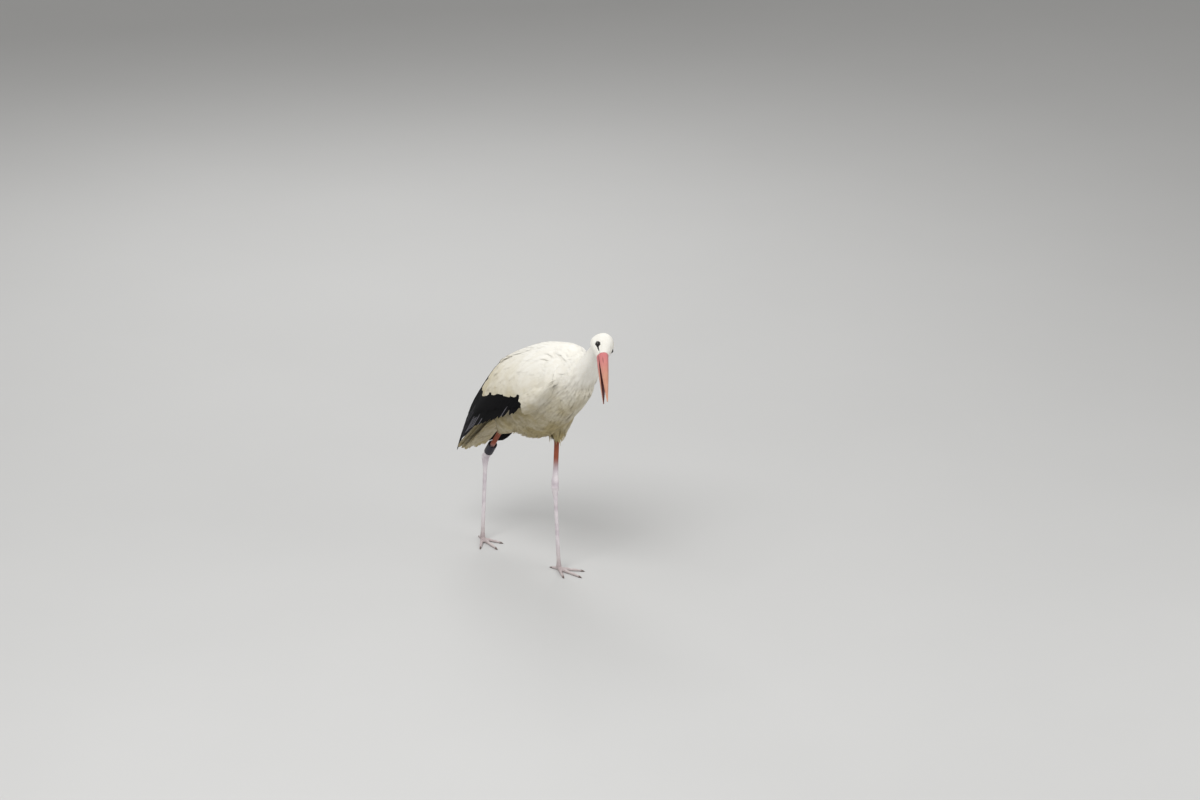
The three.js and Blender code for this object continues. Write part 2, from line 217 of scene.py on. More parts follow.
def seen_directly(tree):
    """1 where a ray comes from the camera, or through glass or a mirror."""
    path = tree.nodes.new("ShaderNodeLightPath")
    total = path.outputs["Is Camera Ray"]
    for name in ("Is Glossy Ray", "Is Transmission Ray"):
        add = tree.nodes.new("ShaderNodeMath")
        add.operation, add.use_clamp = "ADD", True
        tree.links.new(total, add.inputs[0])
        tree.links.new(path.outputs[name], add.inputs[1])
        total = add.outputs[0]
    return total


world = bpy.data.worlds.new("studio")
world.use_nodes = True
bpy.context.scene.world = world
nodes, links = world.node_tree.nodes, world.node_tree.links
nodes["Background"].inputs["Color"].default_value = (1.0, 0.99, 0.97, 1)
nodes["Background"].inputs["Strength"].default_value = WORLD_STRENGTH
backdrop = nodes.new("ShaderNodeBackground")
backdrop.inputs["Color"].default_value = (FLOOR_GREY, FLOOR_GREY, FLOOR_GREY, 1)
choice = nodes.new("ShaderNodeMixShader")
links.new(seen_directly(world.node_tree), choice.inputs[0])
links.new(nodes["Background"].outputs[0], choice.inputs[1])
links.new(backdrop.outputs[0], choice.inputs[2])
links.new(choice.outputs[0], nodes["World Output"].inputs["Surface"])

FLOOR_HALF = 60.0
floor_mesh = bpy.data.meshes.new("floor")
floor_mesh.from_pydata([(x * FLOOR_HALF, y * FLOOR_HALF, 0) for x, y in ((-1, -1), (1, -1), (1, 1), (-1, 1))],
                       [], [(0, 1, 2, 3)])
floor = bpy.data.objects.new("floor", floor_mesh)
bpy.context.scene.collection.objects.link(floor)
floor_paint = Paint("floor paint", Roughness=0.9)
grain = floor_paint.noise(floor_paint.place(), 1.5)
floor.data.materials.append(floor_paint.set(
    Base_Color=floor_paint.mix(grain, (0.53, 0.53, 0.525, 1), (0.56, 0.56, 0.555, 1))))

LAMPS = {                     # where each lamp stands, its size in metres and its power in watts
    "key": ((1.2, -2.2, 3.8), 2.2, 128),
    "fill": ((3.2, 1.8, 1.8), 2.6, 42),
    "back": ((-2.8, 1.4, 2.8), 2.2, 54),
}
for name, (where, size, power) in LAMPS.items():
    lamp = bpy.data.objects.new(name, bpy.data.lights.new(name, "AREA"))
    lamp.data.size, lamp.data.energy = size, power
    lamp.location = where
    lamp.rotation_euler = (Vector(where) - Vector((0, 0, 0.4))).to_track_quat("Z", "Y").to_euler()
    bpy.context.scene.collection.objects.link(lamp)
bpy.context.scene.view_settings.view_transform = "Standard"
print("lamps:", ", ".join(LAMPS))

# %% [markdown]
# The body in tables
#
# A bird's body is a few soft tubes. Each row below gives the middle of one ring, and then its half
# width and its depth above and below the middle. They are the same stations as the solids have, so
# the outer surface that they give is where the tips of the plumage lie.

# %% Stations of each part, in millimetres
TRUNK = np.array([
    [150, 0, 572, 18, 18, 22], [120, 0, 562, 46, 56, 56], [85, 0, 543, 60, 82, 75],
    [38, 0, 517, 72, 94, 92], [-17, 0, 487, 79, 103, 107], [-73, 0, 456, 77, 103, 114],
    [-127, 0, 432, 66, 84, 104], [-175, 0, 417, 47, 60, 70], [-208, 0, 408, 30, 34, 40],
    [-226, 0, 402, 13, 14, 16]], float)
KEEL = 0.22
NECK = np.array([
    [70, 0, 522, 46, 50, 50], [110, 0, 541, 41, 43, 40], [143, 0, 570, 34, 35, 27],
    [173, -1, 605, 29.5, 30.5, 20], [193, -3, 632, 26, 27, 19], [210, -8, 653, 24, 24, 20],
    [224, -17, 667, 18, 18, 18]], float)
TAIL = np.array([
    [-176, 0, 398, 34, 34, 34], [-212, 0, 366, 38, 25, 25], [-252, 0, 327, 42, 13, 13],
    [-296, 0, 281, 44, 5.5, 5.5], [-330, 0, 245, 43, 2.6, 2.6], [-348, 0, 226, 36, 1.2, 1.2]], float)
HEAD = np.array([               # ahead of the bill's base, half width, crown, chin
    [-64, 5, 13, 5], [-58, 18, 24, 14], [-45, 28.5, 33, 21], [-29, 28, 34.5, 22],
    [-15, 22.5, 27.5, 19], [-4, 16, 19.5, 16], [2, 13.5, 15.5, 14]], float)
WING = np.array([               # upper edge, lower edge, bulge between them, thickness
    [104, 42, 584, 98, 66, 546, 3, 5], [86, 27, 604, 78, 80, 514, 12, 15],
    [40, 16, 614, 40, 90, 474, 24, 22], [-25, 9, 597, -14, 95, 442, 32, 24],
    [-90, 6, 567, -85, 92, 408, 32, 21], [-150, 4, 535, -150, 83, 376, 28, 16],
    [-213, 3, 493, -208, 73, 347, 20, 11], [-266, 3, 435, -256, 63, 322, 13, 8],
    [-315, 3, 367, -301, 51, 290, 8, 6], [-339, 17, 280, -334, 41, 253, 4, 4.5],
    [-361, 22, 229, -363, 29, 216, 0.6, 2.4]], float)
BLACK_BEGINS, WHITE_ENDS = 0.27, 0.6     # along the wing: where the border starts to rise, and its end
COVERT_STEP = 2.5                        # how far the coverts' tips stand off the wing, in mm
LEGS = {
    "left": dict(foot=(9, 15), ankle=(0, 10, 222), knee=(-12, 30, 434), turn=8, bare=0.59, side=1),
    "right": dict(foot=(-273, -15), ankle=(-261, -12, 230), knee=(-127, -32, 392), turn=-8, bare=0.62,
                  side=-1),
}
SIGN = {side: leg["side"] for side, leg in LEGS.items()}        # +1 for the left, as +Y is
TOES = {                        # length, half width, and angle from straight on, of each toe
    "middle": (80, 5.2, 0), "inner": (60, 4.8, 34), "outer": (66, 4.8, -34), "hind": (30, 4.2, 172),
}
CLAW_LENGTH, TOE_HEIGHT = 11, 9
EYE_BACK, EYE_OUT, EYE_UP, EYE_RADIUS = 22, 20, 11, 6.2
BILL_LENGTH, BILL_WIDTH, UPPER_BILL_DEPTH, LOWER_BILL_DEPTH = 152, 26, 15.5, 14
GAPE_ANGLE = math.radians(5)
print("stations:", len(TRUNK), "trunk,", len(NECK), "neck,", len(HEAD), "head,", len(WING), "wing")

# %% [markdown]
# Surfaces of two parameters
#
# Every shape here is a function: share `t` of the way along a part and an `angle` round it give a
# point. A third number, `under`, asks for the layer that lies that far beneath, which is how we find
# the skin below the plumage. On the wing it is called `proud`, and counts outwards. All functions
# take whole arrays, so no point is ever worked out alone.

# %% Tracks, lofts and the frame of the head
UP = np.array([0, 0, 1.0])


def unit(vectors):
    """Vectors scaled to length one."""
    return vectors / np.maximum(np.linalg.norm(vectors, axis=-1, keepdims=True), 1e-9)


def circle(count):
    """Even angles round a full turn."""
    return np.linspace(0, 2 * np.pi, count, endpoint=False)


def track(rows):
    """A smooth line through rows, equal shares apart. Between two rows it is the cubic whose slope
    at each row is half the step from the row before it to the row after it."""
    rows = np.asarray(rows, float)
    points = np.vstack([2 * rows[0] - rows[1], rows, 2 * rows[-1] - rows[-2]])

    def place(t):
        along = np.clip(t, 0, 1) * (len(rows) - 1)
        i = np.minimum(along.astype(int), len(rows) - 2)
        f = (along - i)[..., None]
        a, b, c, d = (points[i + k] for k in range(4))
        return b + 0.5 * f * ((c - a) + f * ((2 * a - 5 * b + 4 * c - d) + f * (3 * b - a - 3 * c + d)))
    return place


def heading(path, t):
    """The direction of a line at t, from one hundredth before it to one hundredth after."""
    return unit(path(np.minimum(t + 0.01, 1)) - path(np.maximum(t - 0.01, 0)))


def loft(rows, upwards=(0, 0, 1), keel=0.0):
    """Ovals carried along a line. Point = middle + width x half x cosine + depth x rise x sine, where
    depth is the part of `upwards` square to the line, and a keel narrows the lower half."""
    path, size = track(rows[:, :3]), track(rows[:, 3:6])
    upwards = np.array(upwards, float)

    def surface(t, angle, under=0.0):
        t, angle, under = np.broadcast_arrays(np.asarray(t, float), angle, under)
        ahead = heading(path, t)
        depth = unit(upwards - ahead * (ahead @ upwards)[..., None])
        width = np.cross(depth, ahead)
        half, above, below = np.moveaxis(size(t), -1, 0)
        sine = np.sin(angle)
        reach = np.maximum(half - under, 0.5) * np.cos(angle) * (1 + keel * np.minimum(sine, 0))
        rise = np.maximum(np.where(sine > 0, above, below) - under, 0.5) * sine
        return path(t) + width * reach[..., None] + depth * rise[..., None]
    return surface


yaw, pitch, roll = (math.radians(a) for a in (-33.1, 26.1, -37))
HEAD_AHEAD = np.array([math.cos(pitch) * math.cos(yaw), math.cos(pitch) * math.sin(yaw), -math.sin(pitch)])
level = unit(np.cross([0, 0, 1], HEAD_AHEAD))
HEAD_LEFT = level * math.cos(roll) + np.cross(HEAD_AHEAD, level) * math.sin(roll)
HEAD_UP = np.cross(HEAD_AHEAD, HEAD_LEFT)
BILL_BASE = np.array([267.0, -48.6, 655.0])


def on_head(ahead, left, up):
    """A point given ahead of the bill's base, to the head's left and up from its axis."""
    ahead, left, up = np.broadcast_arrays(ahead, left, up)
    axes = np.array([HEAD_AHEAD, HEAD_LEFT, HEAD_UP])
    return BILL_BASE + np.stack([ahead, left, up], -1) @ axes


def off_head(points):
    """The other way: how far ahead, left and up, in mm, points in metres lie."""
    local = drawn(points) - BILL_BASE
    return local @ HEAD_AHEAD, local @ HEAD_LEFT, local @ HEAD_UP


def head_surface(t, angle, under=0.0):
    """Ovals square to the head's axis, from the nape at t = 0 to the bill at t = 1."""
    t, angle, under = np.broadcast_arrays(np.asarray(t, float), angle, under)
    ahead, half, above, below = np.moveaxis(track(HEAD)(t), -1, 0)
    rise = np.where(np.sin(angle) > 0, above, below) - under
    return on_head(ahead, (half - under) * np.cos(angle), rise * np.sin(angle))


WING_UPPER, WING_LOWER, WING_FORM = track(WING[:, :3]), track(WING[:, 3:6]), track(WING[:, 6:8])


def wing_surface(s, v, proud=0.0, side=1):
    """The folded wing: s runs from wrist to tip and v from upper to lower edge. Point = the edges
    mixed by v, moved out by bulge x hump + proud x (0.3 + 0.7 hump), where hump = 4 v (1 - v)."""
    s, v, proud = np.broadcast_arrays(np.asarray(s, float), v, proud)
    high, low = WING_UPPER(s), WING_LOWER(s)
    out = unit(np.cross([1.0, 0, 0], low - high))
    hump = np.maximum(4 * v * (1 - v), 0)
    stand = WING_FORM(s)[..., 0] * hump + proud * (0.3 + 0.7 * hump)
    points = high + (low - high) * v[..., None] + out * stand[..., None]
    return points * [1, side, 1]


def slopes(surface, s, v, e):
    """How far a surface goes, along each of its two parameters, from e before a place to e after."""
    return surface(s + e, v) - surface(s - e, v), surface(s, v + e) - surface(s, v - e)


def smoothstep(x, low, high):
    """0 below low, 1 above high, 3x^2 - 2x^3 between."""
    x = np.clip((x - low) / (high - low), 0, 1)
    return x * x * (3 - 2 * x)


def black_border(s):
    """Where the white coverts end, as a share of the wing's height at s."""
    return 1 - 0.23 * smoothstep(s, BLACK_BEGINS - 0.04, 0.36) - 0.21 * smoothstep(s, 0.36, WHITE_ENDS)


trunk_surface, neck_surface, tail_surface = loft(TRUNK, keel=KEEL), loft(NECK), loft(TAIL)
print("breast at", metres(trunk_surface(0.1, -math.pi / 2)).round(3))

# %% Legs and toes
def leg_stations(leg, kind):
    """Rings between foot, ankle and knee: each row's share of the way, half width and depth."""
    foot, ankle, knee = np.array(leg["foot"] + (0,), float), np.array(leg["ankle"]), np.array(leg["knee"])
    hem = leg["bare"]
    profiles = {
        "tarsus": (foot, ankle, [[1.05, 3], [1.035, 8], [1, 10.6], [0.945, 8.4], [0.86, 6], [0.7, 5.4],
                                 [0.4, 5.4], [0.12, 5.6], [0.06, 7.2], [0.025, 6.4]], 0.92, 1),
        "tibia": (ankle, knee, [[0, 7], [0.05, 9.4], [0.095, 8.8], [0.12, 8], [0.21, 6.9], [0.3, 6.4],
                                [hem + 0.07, 6.4]], 1, 1.05),
        "thigh": (ankle, knee, [[hem, 10], [hem + 0.08, 20], [hem + 0.2, 33], [hem + 0.32, 42],
                                [hem + 0.44, 45], [hem + 0.54, 34]], 0.85, 1.1),
    }
    start, end, profile, across, deep = profiles[kind]
    share, radius = np.array(profile, float).T
    middle = start + share[:, None] * (end - start)
    return np.column_stack([middle, radius * across, radius * deep, radius * deep])


def toe_frame(leg, turn):
    """Directions along and across a toe, level with the ground."""
    angle = math.radians(leg["turn"] - turn * leg["side"])
    ahead = np.array([math.cos(angle), math.sin(angle), 0])
    return ahead, np.array([-ahead[1], ahead[0], 0])


def toe_surface(leg, toe):
    """A toe with a flat sole: half width = half x taper x swell, and the back is a flattened dome.
    Taper falls from 1 to 0.58, and swell gives three pads."""
    length, half, turn = TOES[toe]
    ahead, across = toe_frame(leg, turn)
    root = np.array(leg["foot"] + (0,), float)

    def surface(t, angle):
        t, angle = np.broadcast_arrays(np.asarray(t, float), angle)
        size = (1 - 0.42 * t) * (1 + 0.1 * np.cos(6 * np.pi * t)) * np.sqrt(1 - np.maximum(t - 0.93, 0) * 9)
        along = 1 + (length - CLAW_LENGTH / 2 - 1) * t
        sine = np.sin(angle)
        rise = np.maximum(TOE_HEIGHT * size * (0.42 + 0.58 * np.sign(sine) * np.abs(sine) ** 0.8), 0.05)
        reach = half * size * np.cos(angle)
        return root + ahead * along[..., None] + across * reach[..., None] + UP * rise[..., None]
    return surface


leg_surfaces = {(side, kind): loft(leg_stations(leg, kind), upwards=(1, 0, 0))
                for side, leg in LEGS.items() for kind in ("tarsus", "tibia", "thigh")}
print("leg surfaces:", len(leg_surfaces))

# %% [markdown]
# From arrays to meshes
#
# `mesh_data` hands whole arrays to Blender, and `piece` makes an object of the mesh. `tube` closes a
# stack of rings with a fan of faces at each end. Joining arrays is just adding an offset to the face
# numbers.

# %% Meshes out of arrays
def mesh_data(name, points, faces, uvs=None, values=None, rim=None):
    """A mesh from points in metres and faces, all triangles or all quads. uvs hold one pair for each
    face corner, and values one number for each point. An edge between two points of the rim is
    sharp, so that light doesn't bleed over it from one sheet to the other."""
    mesh = bpy.data.meshes.new(name)
    count, corners = faces.shape
    mesh.vertices.add(len(points))
    mesh.vertices.foreach_set("co", np.ascontiguousarray(points, np.float32).ravel())
    mesh.loops.add(count * corners)
    mesh.loops.foreach_set("vertex_index", np.ascontiguousarray(faces, np.int32).ravel())
    mesh.polygons.add(count)
    mesh.polygons.foreach_set("loop_start", np.arange(0, count * corners, corners, dtype=np.int32))
    mesh.polygons.foreach_set("use_smooth", np.ones(count, bool))
    for uv_name, pairs in (uvs or {}).items():
        layer = mesh.uv_layers.new(name=uv_name)
        layer.data.foreach_set("uv", np.ascontiguousarray(pairs, np.float32).ravel())
    for value_name, numbers in (values or {}).items():
        layer = mesh.attributes.new(value_name, "FLOAT", "POINT")
        layer.data.foreach_set("value", np.ascontiguousarray(numbers, np.float32))
    mesh.update(calc_edges=True)
    if rim is not None:
        ends = np.empty(len(mesh.edges) * 2, np.int32)
        mesh.edges.foreach_get("vertices", ends)
        sharp = mesh.attributes.new("sharp_edge", "BOOLEAN", "EDGE")
        sharp.data.foreach_set("value", rim[ends].reshape(-1, 2).all(axis=1))
    return mesh


def piece(mesh, material, slot, replaces=()):
    """An object for a mesh, riding on the bird's one body, with its material, and in the place of the
    nodes that it replaces. The slot is not used."""
    made = bpy.data.objects.new(mesh.name, mesh)
    bpy.context.scene.collection.objects.link(made)
    made.data.materials.append(material)
    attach(made, "root")
    if replaces:
        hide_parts(*replaces)


def tube(rings):
    """Points and triangles of a closed tube over rings, an array of rings x sides x 3."""
    count, sides = rings.shape[:2]
    i, j = np.meshgrid(np.arange(count - 1), np.arange(sides), indexing="ij")
    a, b = i * sides + j, i * sides + (j + 1) % sides
    wall = np.stack([a, b, b + sides, a, b + sides, a + sides], -1).reshape(-1, 3)
    rim, after = np.arange(sides), (np.arange(sides) + 1) % sides
    first, last = count * sides, (count - 1) * sides
    start = np.stack([after, rim, np.full(sides, first)], -1)
    end = np.stack([last + rim, last + after, np.full(sides, first + 1)], -1)
    points = np.vstack([rings.reshape(-1, 3), rings[0].mean(0), rings[-1].mean(0)])
    return outward(points, np.vstack([wall, start, end]))


def outward(points, faces):
    """The same faces, turned round if the volume that they hold comes out negative."""
    a, b, c = (points[faces[:, k]] for k in range(3))
    volume = np.einsum("ij,ij->", a - points.mean(0), np.cross(b - a, c - a))
    return points, faces if volume > 0 else faces[:, ::-1]


def joined(shapes):
    """Several lots of points and faces as one."""
    offsets = np.cumsum([0] + [len(points) for points, _ in shapes[:-1]])
    return (np.vstack([points for points, _ in shapes]),
            np.vstack([faces + offset for (_, faces), offset in zip(shapes, offsets)]))


def grid(surface, steps, sides, start=0.0, end=1.0):
    """Rings of a surface, evenly along and around."""
    return surface(np.linspace(start, end, steps)[:, None], circle(sides)[None, :])


print("a test tube has", len(tube(grid(trunk_surface, 5, 8))[1]), "triangles")

# %% [markdown]
# The skin
#
# Under its feathers a stork is lean. The skin follows the solids at the depth of the coat: deep at
# the breast and belly, shallow on the head, and none on the shins and toes. One way to make it is to
# model and sew each patch. It is quicker to let the parts run into each other and to cast one new
# surface round them all with a voxel remesh, which leaves no seam, and then to relax it a little.

# %% Depth of the coat, and the bodies that the skin is cast round
def trunk_depth(t, angle):
    """Deeper below and in front, shallower on the back."""
    below = 0.5 - 0.5 * np.sin(angle)
    return 8 + 6 * below + 2 * smoothstep(0.3 - t, 0, 0.3)


def neck_depth(t, angle):
    """Long loose plumes low on the neck, short ones at its top."""
    return 8 - 5 * smoothstep(t, 0.2, 0.95)


def head_depth(t, angle):
    """Short as velvet in front, longer at the nape."""
    return 3.2 - 2.0 * smoothstep(t, 0.15, 0.8)


def thigh_depth(t, angle):
    """Thin at the hem above the naked shin, deeper higher up."""
    return 4 + 7 * smoothstep(t, 0.02, 0.4)


def tail_depth(t, angle):
    """Deep where the tail leaves the rump, thinner further back."""
    return 3 + 10 * (1 - t)


def no_depth(t, angle):
    """No coat at all, as on the shins."""
    return 0 * t


def bare(t, angle):
    """Naked skin, a hair's breadth inside the solids."""
    return 0.15 + 0 * t


WING_COAT = 5.0                 # how deep the coverts stand over the arm


def wing_arm(side):
    """The arm inside the folded wing: a crescent under the coverts, from wrist to elbow."""
    s = np.linspace(0.03, 0.62, 60)[:, None]
    thick = WING_FORM(s)[..., 1]
    bottom = 0.93 * black_border(s)
    v = 0.04 + (bottom - 0.04) * np.linspace(0, 1, 24)[None, :]
    outer = wing_surface(s, v, -WING_COAT, side)
    inner = wing_surface(s, v, -np.maximum(thick - 1, WING_COAT + 2.5), side)
    return tube(np.concatenate([outer, inner[:, ::-1]], axis=1))


def body_rings(surface, depth, steps, sides, start=0.0, end=1.0):
    """Rings of a part at the depth of its coat."""
    return grid(lambda t, angle: surface(t, angle, depth(t, angle) + 0 * angle), steps, sides, start, end)


bodies = [
    tube(body_rings(trunk_surface, trunk_depth, 90, 96)),
    tube(body_rings(neck_surface, neck_depth, 70, 64)),
    tube(body_rings(head_surface, head_depth, 48, 56, 0.02, 1.0)),
    tube(body_rings(tail_surface, tail_depth, 20, 48, 0.0, 0.35)),
    wing_arm(1), wing_arm(-1),
]
for side, leg in LEGS.items():
    for kind, depth, steps, sides in (("thigh", thigh_depth, 40, 56), ("tibia", bare, 70, 32),
                                      ("tarsus", bare, 120, 32)):
        bodies.append(tube(body_rings(leg_surfaces[side, kind], depth, steps, sides)))
    bodies += [tube(grid(toe_surface(leg, toe), 40, 28)) for toe in TOES]
print("bodies under the skin:", len(bodies), "with", sum(len(faces) for _, faces in bodies), "triangles")

# %% Cast the skin
VOXEL = 0.00185                 # in metres: fine enough for the toes
RELAX_STEPS = 5
KEPT_SHARE = 0.62               # of the faces: flat stretches lose most, thin legs keep theirs


def cast(points, faces, voxel):
    """One closed surface round all the bodies: remeshed in voxels, relaxed and thinned out."""
    rough = bpy.data.objects.new("rough", mesh_data("rough", metres(points), faces))
    bpy.context.scene.collection.objects.link(rough)
    remesh = rough.modifiers.new("cast", "REMESH")
    remesh.mode, remesh.voxel_size, remesh.use_smooth_shade = "VOXEL", voxel, True
    relax = rough.modifiers.new("relax", "SMOOTH")
    relax.factor, relax.iterations = 0.5, RELAX_STEPS
    thin = rough.modifiers.new("thin", "DECIMATE")
    thin.ratio, thin.use_collapse_triangulate = KEPT_SHARE, True
    done = rough.evaluated_get(bpy.context.evaluated_depsgraph_get()).to_mesh()
    points = np.empty(len(done.vertices) * 3, np.float32)
    normals = np.empty(len(done.vertices) * 3, np.float32)
    done.vertices.foreach_get("co", points)
    done.vertices.foreach_get("normal", normals)
    corners = np.empty(len(done.loops), np.int32)
    done.loops.foreach_get("vertex_index", corners)
    bpy.data.objects.remove(rough)
    points, normals = (a.reshape(-1, 3).astype(float) for a in (points, normals))
    return points, unit(normals), corners.reshape(-1, 3)


skin_points, skin_normals, skin_faces = cast(*joined(bodies), VOXEL)
print("skin:", len(skin_points), "points,", len(skin_faces), "triangles")

# %% [markdown]
# What the skin knows
#
# Each point of the skin should know which part it belongs to, which way the feathers lie there, how
# deep the coat is, and its place on a flat map. We sample every part's function on a grid, look up
# the nearest sample for each point of the skin, and then let neighbours share their directions, so
# that the coat turns smoothly where one part runs into the next.

# %% Samples of every part
REGIONS = (["trunk", "neck", "head", "tail", "toe"]
           + [f"{part}_{side}" for part in ("wing", "thigh", "tibia", "tarsus") for side in LEGS])
ATLAS = {                       # corner and size of each part's place on the flat map
    "trunk": (0.01, 0.01, 0.48, 0.58), "neck": (0.01, 0.61, 0.24, 0.26), "head": (0.27, 0.61, 0.16, 0.2),
    "tail": (0.51, 0.75, 0.24, 0.2), "wing_left": (0.51, 0.01, 0.48, 0.22),
    "wing_right": (0.51, 0.25, 0.48, 0.22), "thigh_left": (0.51, 0.49, 0.22, 0.24),
    "thigh_right": (0.75, 0.49, 0.22, 0.24),
}


def around(surface, depth):
    """The skin of a part as a function of the share along it and the share round it."""
    def skin_level(t, share):
        angle = 2 * np.pi * share
        return surface(t, angle, depth(t, angle) + 0 * share)
    return skin_level


def wing_skin(side):
    """The same for a wing, whose share round is the chart's v."""
    return lambda s, v: wing_surface(s, v, -WING_COAT, side)


# for each part: its surface at skin level, its coat's depth, the range of t, and which way feathers run
PARTS = {
    "trunk": (around(trunk_surface, trunk_depth), trunk_depth, (0, 1), 1),
    "neck": (around(neck_surface, neck_depth), neck_depth, (0, 1), -1),
    "head": (around(head_surface, head_depth), head_depth, (0.02, 1), -1),
    "tail": (around(tail_surface, tail_depth), tail_depth, (0, 0.35), 1),
}
for side, leg in LEGS.items():
    PARTS["wing_" + side] = (wing_skin(leg["side"]), lambda t, angle: WING_COAT + 0 * t, (0.03, 0.62), 1)
    for kind, depth in (("thigh", thigh_depth), ("tibia", no_depth), ("tarsus", no_depth)):
        sign = 1 if kind == "tarsus" else -1
        PARTS[f"{kind}_{side}"] = (around(leg_surfaces[side, kind], depth), depth, (0, 1), sign)


def samples(name):
    """Points, directions, depths and map places over one part."""
    surface, depth, (start, end), sign = PARTS[name]
    t, share = np.meshgrid(np.linspace(start, end, 110), np.linspace(0, 1, 90), indexing="ij")
    t, share = t.ravel(), share.ravel()
    step = 0.004
    along = surface(np.minimum(t + step, 1), share) - surface(np.maximum(t - step, 0), share)
    region = np.full(len(t), REGIONS.index(name))
    return surface(t, share), sign * unit(along), depth(t, 2 * np.pi * share) + 0 * t, region, t, share


def toe_samples(leg, toe):
    """The same over one toe, which wears no coat and has no place of its own on the flat map."""
    surface = toe_surface(leg, toe)
    t, share = (a.ravel() for a in np.meshgrid(np.linspace(0, 1, 40), np.linspace(0, 1, 24), indexing="ij"))
    ahead, _ = toe_frame(leg, TOES[toe][2])
    none = np.zeros(len(t))
    return (surface(t, 2 * np.pi * share), np.tile(ahead, (len(t), 1)), none,
            np.full(len(t), REGIONS.index("toe")), t, share)


gathered = [samples(name) for name in PARTS]
gathered += [toe_samples(leg, toe) for leg in LEGS.values() for toe in TOES]
sample_points, sample_flow, sample_depth, sample_region, sample_t, sample_share = (
    np.concatenate(column) for column in zip(*gathered))
print("samples:", len(sample_points))

# %% Nearest samples, and directions shared between neighbours
def tree_of(points):
    """A search tree for nearest points."""
    tree = KDTree(len(points))
    for i, point in enumerate(points):
        tree.insert(point, i)
    tree.balance()
    return tree


def nearest(tree, points):
    """The number of the nearest point in a tree, for each of many points."""
    return np.fromiter((tree.find(point)[1] for point in points), np.int64, len(points))


PUFF, PUFF_REACH = 7.0, 30.0    # how much deeper the coat is beside the wing's lower edge, and how far
found = nearest(tree_of(metres(sample_points)), skin_points)
skin_region, skin_t, skin_share = sample_region[found], sample_t[found], sample_share[found]
skin_depth = sample_depth[found] * MM
skin_flow = sample_flow[found]

skin_edges = np.vstack([skin_faces[:, [k, (k + 1) % 3]] for k in range(3)])
skin_edges = np.unique(np.sort(skin_edges, axis=1), axis=0)


def shared(values, rounds):
    """Each point's value mixed with its neighbours' mean, again and again."""
    a, b = skin_edges.T
    count = len(values)
    degree = np.bincount(a, minlength=count) + np.bincount(b, minlength=count)
    for _ in range(rounds):
        columns = values.reshape(count, -1).T
        sums = [np.bincount(a, column[b], count) + np.bincount(b, column[a], count) for column in columns]
        values = (0.4 * columns + 0.6 * np.array(sums) / degree).T.reshape(values.shape)
    return values


def flat_on_skin(vectors, normals):
    """Directions with their part square to the skin taken out."""
    return unit(vectors - normals * np.einsum("ij,ij->i", vectors, normals)[:, None])


edge_s = np.linspace(0, 0.3, 60)
wing_edge = np.concatenate([wing_surface(edge_s, 1.0, 0.0, sign) for sign in SIGN.values()])
beside = wing_edge[nearest(tree_of(metres(wing_edge)), skin_points)]
off_edge = np.linalg.norm(drawn(skin_points) - beside, axis=1)
puffed = np.isin(skin_region, [REGIONS.index("trunk"), REGIONS.index("neck")])
skin_depth = skin_depth + PUFF * MM * puffed * np.exp(-(off_edge / PUFF_REACH) ** 2)
skin_depth = shared(skin_depth, 25)
skin_flow = flat_on_skin(shared(flat_on_skin(skin_flow, skin_normals), 60), skin_normals)
soft_normals = unit(shared(skin_normals, 12))
skin_tree = tree_of(skin_points)
BODY_POINTS = np.flatnonzero(puffed)
body_tree = tree_of(skin_points[BODY_POINTS])
print("coat depth, mm:", (skin_depth.min() / MM).round(1), "to", (skin_depth.max() / MM).round(1))

# %% [markdown]
# A feather, and thousands of them
#
# A contour feather is a thin curved vane about a shaft. Ours is a small closed mesh: two sheets, one
# over the other, that share their edge, a little thicker at the shaft. We work out the places of all
# feathers of a tract at once, as one array of feathers x steps along x columns across. Real solids
# cost more than painted ones, but they break the outline and catch the light as plumage does.

# %% The vane
def outline(t, point):
    """Half width along a vane: quick to open from the quill, then round (point = 0) or pointed
    (point = 1) at the tip."""
    opening = 1 - (1 - np.clip(t / 0.35, 0, 1)) ** 2
    round_tip = np.sqrt(np.clip(1 - np.clip((t - 0.62) / 0.39, 0, 1) ** 2, 0, 1))
    sharp_tip = 1 - np.clip((t - 0.3) / 0.72, 0, 1) ** 1.4
    return (0.16 + 0.84 * opening) * ((1 - point) * round_tip + point * sharp_tip) + 0.02


def vane_faces(steps, columns):
    """Quads of one closed vane. The upper sheet has all its points, (steps + 1) x (columns + 1), and
    the lower sheet only its inner ones, so that the two share their edge."""
    upper = np.arange((steps + 1) * (columns + 1)).reshape(steps + 1, columns + 1)
    lower = upper.copy()
    inner = (steps - 1) * (columns - 1)
    lower[1:-1, 1:-1] = upper.size + np.arange(inner).reshape(steps - 1, columns - 1)
    quads = []
    for sheet, turned in ((upper, False), (lower, True)):
        corners = [sheet[:-1, :-1], sheet[:-1, 1:], sheet[1:, 1:], sheet[1:, :-1]]
        corners = corners[::-1] if turned else corners
        quads.append(np.stack(corners, -1).reshape(-1, 4))
    rim = np.ones(upper.size + inner, bool)
    rim[upper[1:-1, 1:-1]] = rim[lower[1:-1, 1:-1]] = False
    return np.vstack(quads), rim


PATCH = 0.003                   # how wide one feather's place is on the flat map


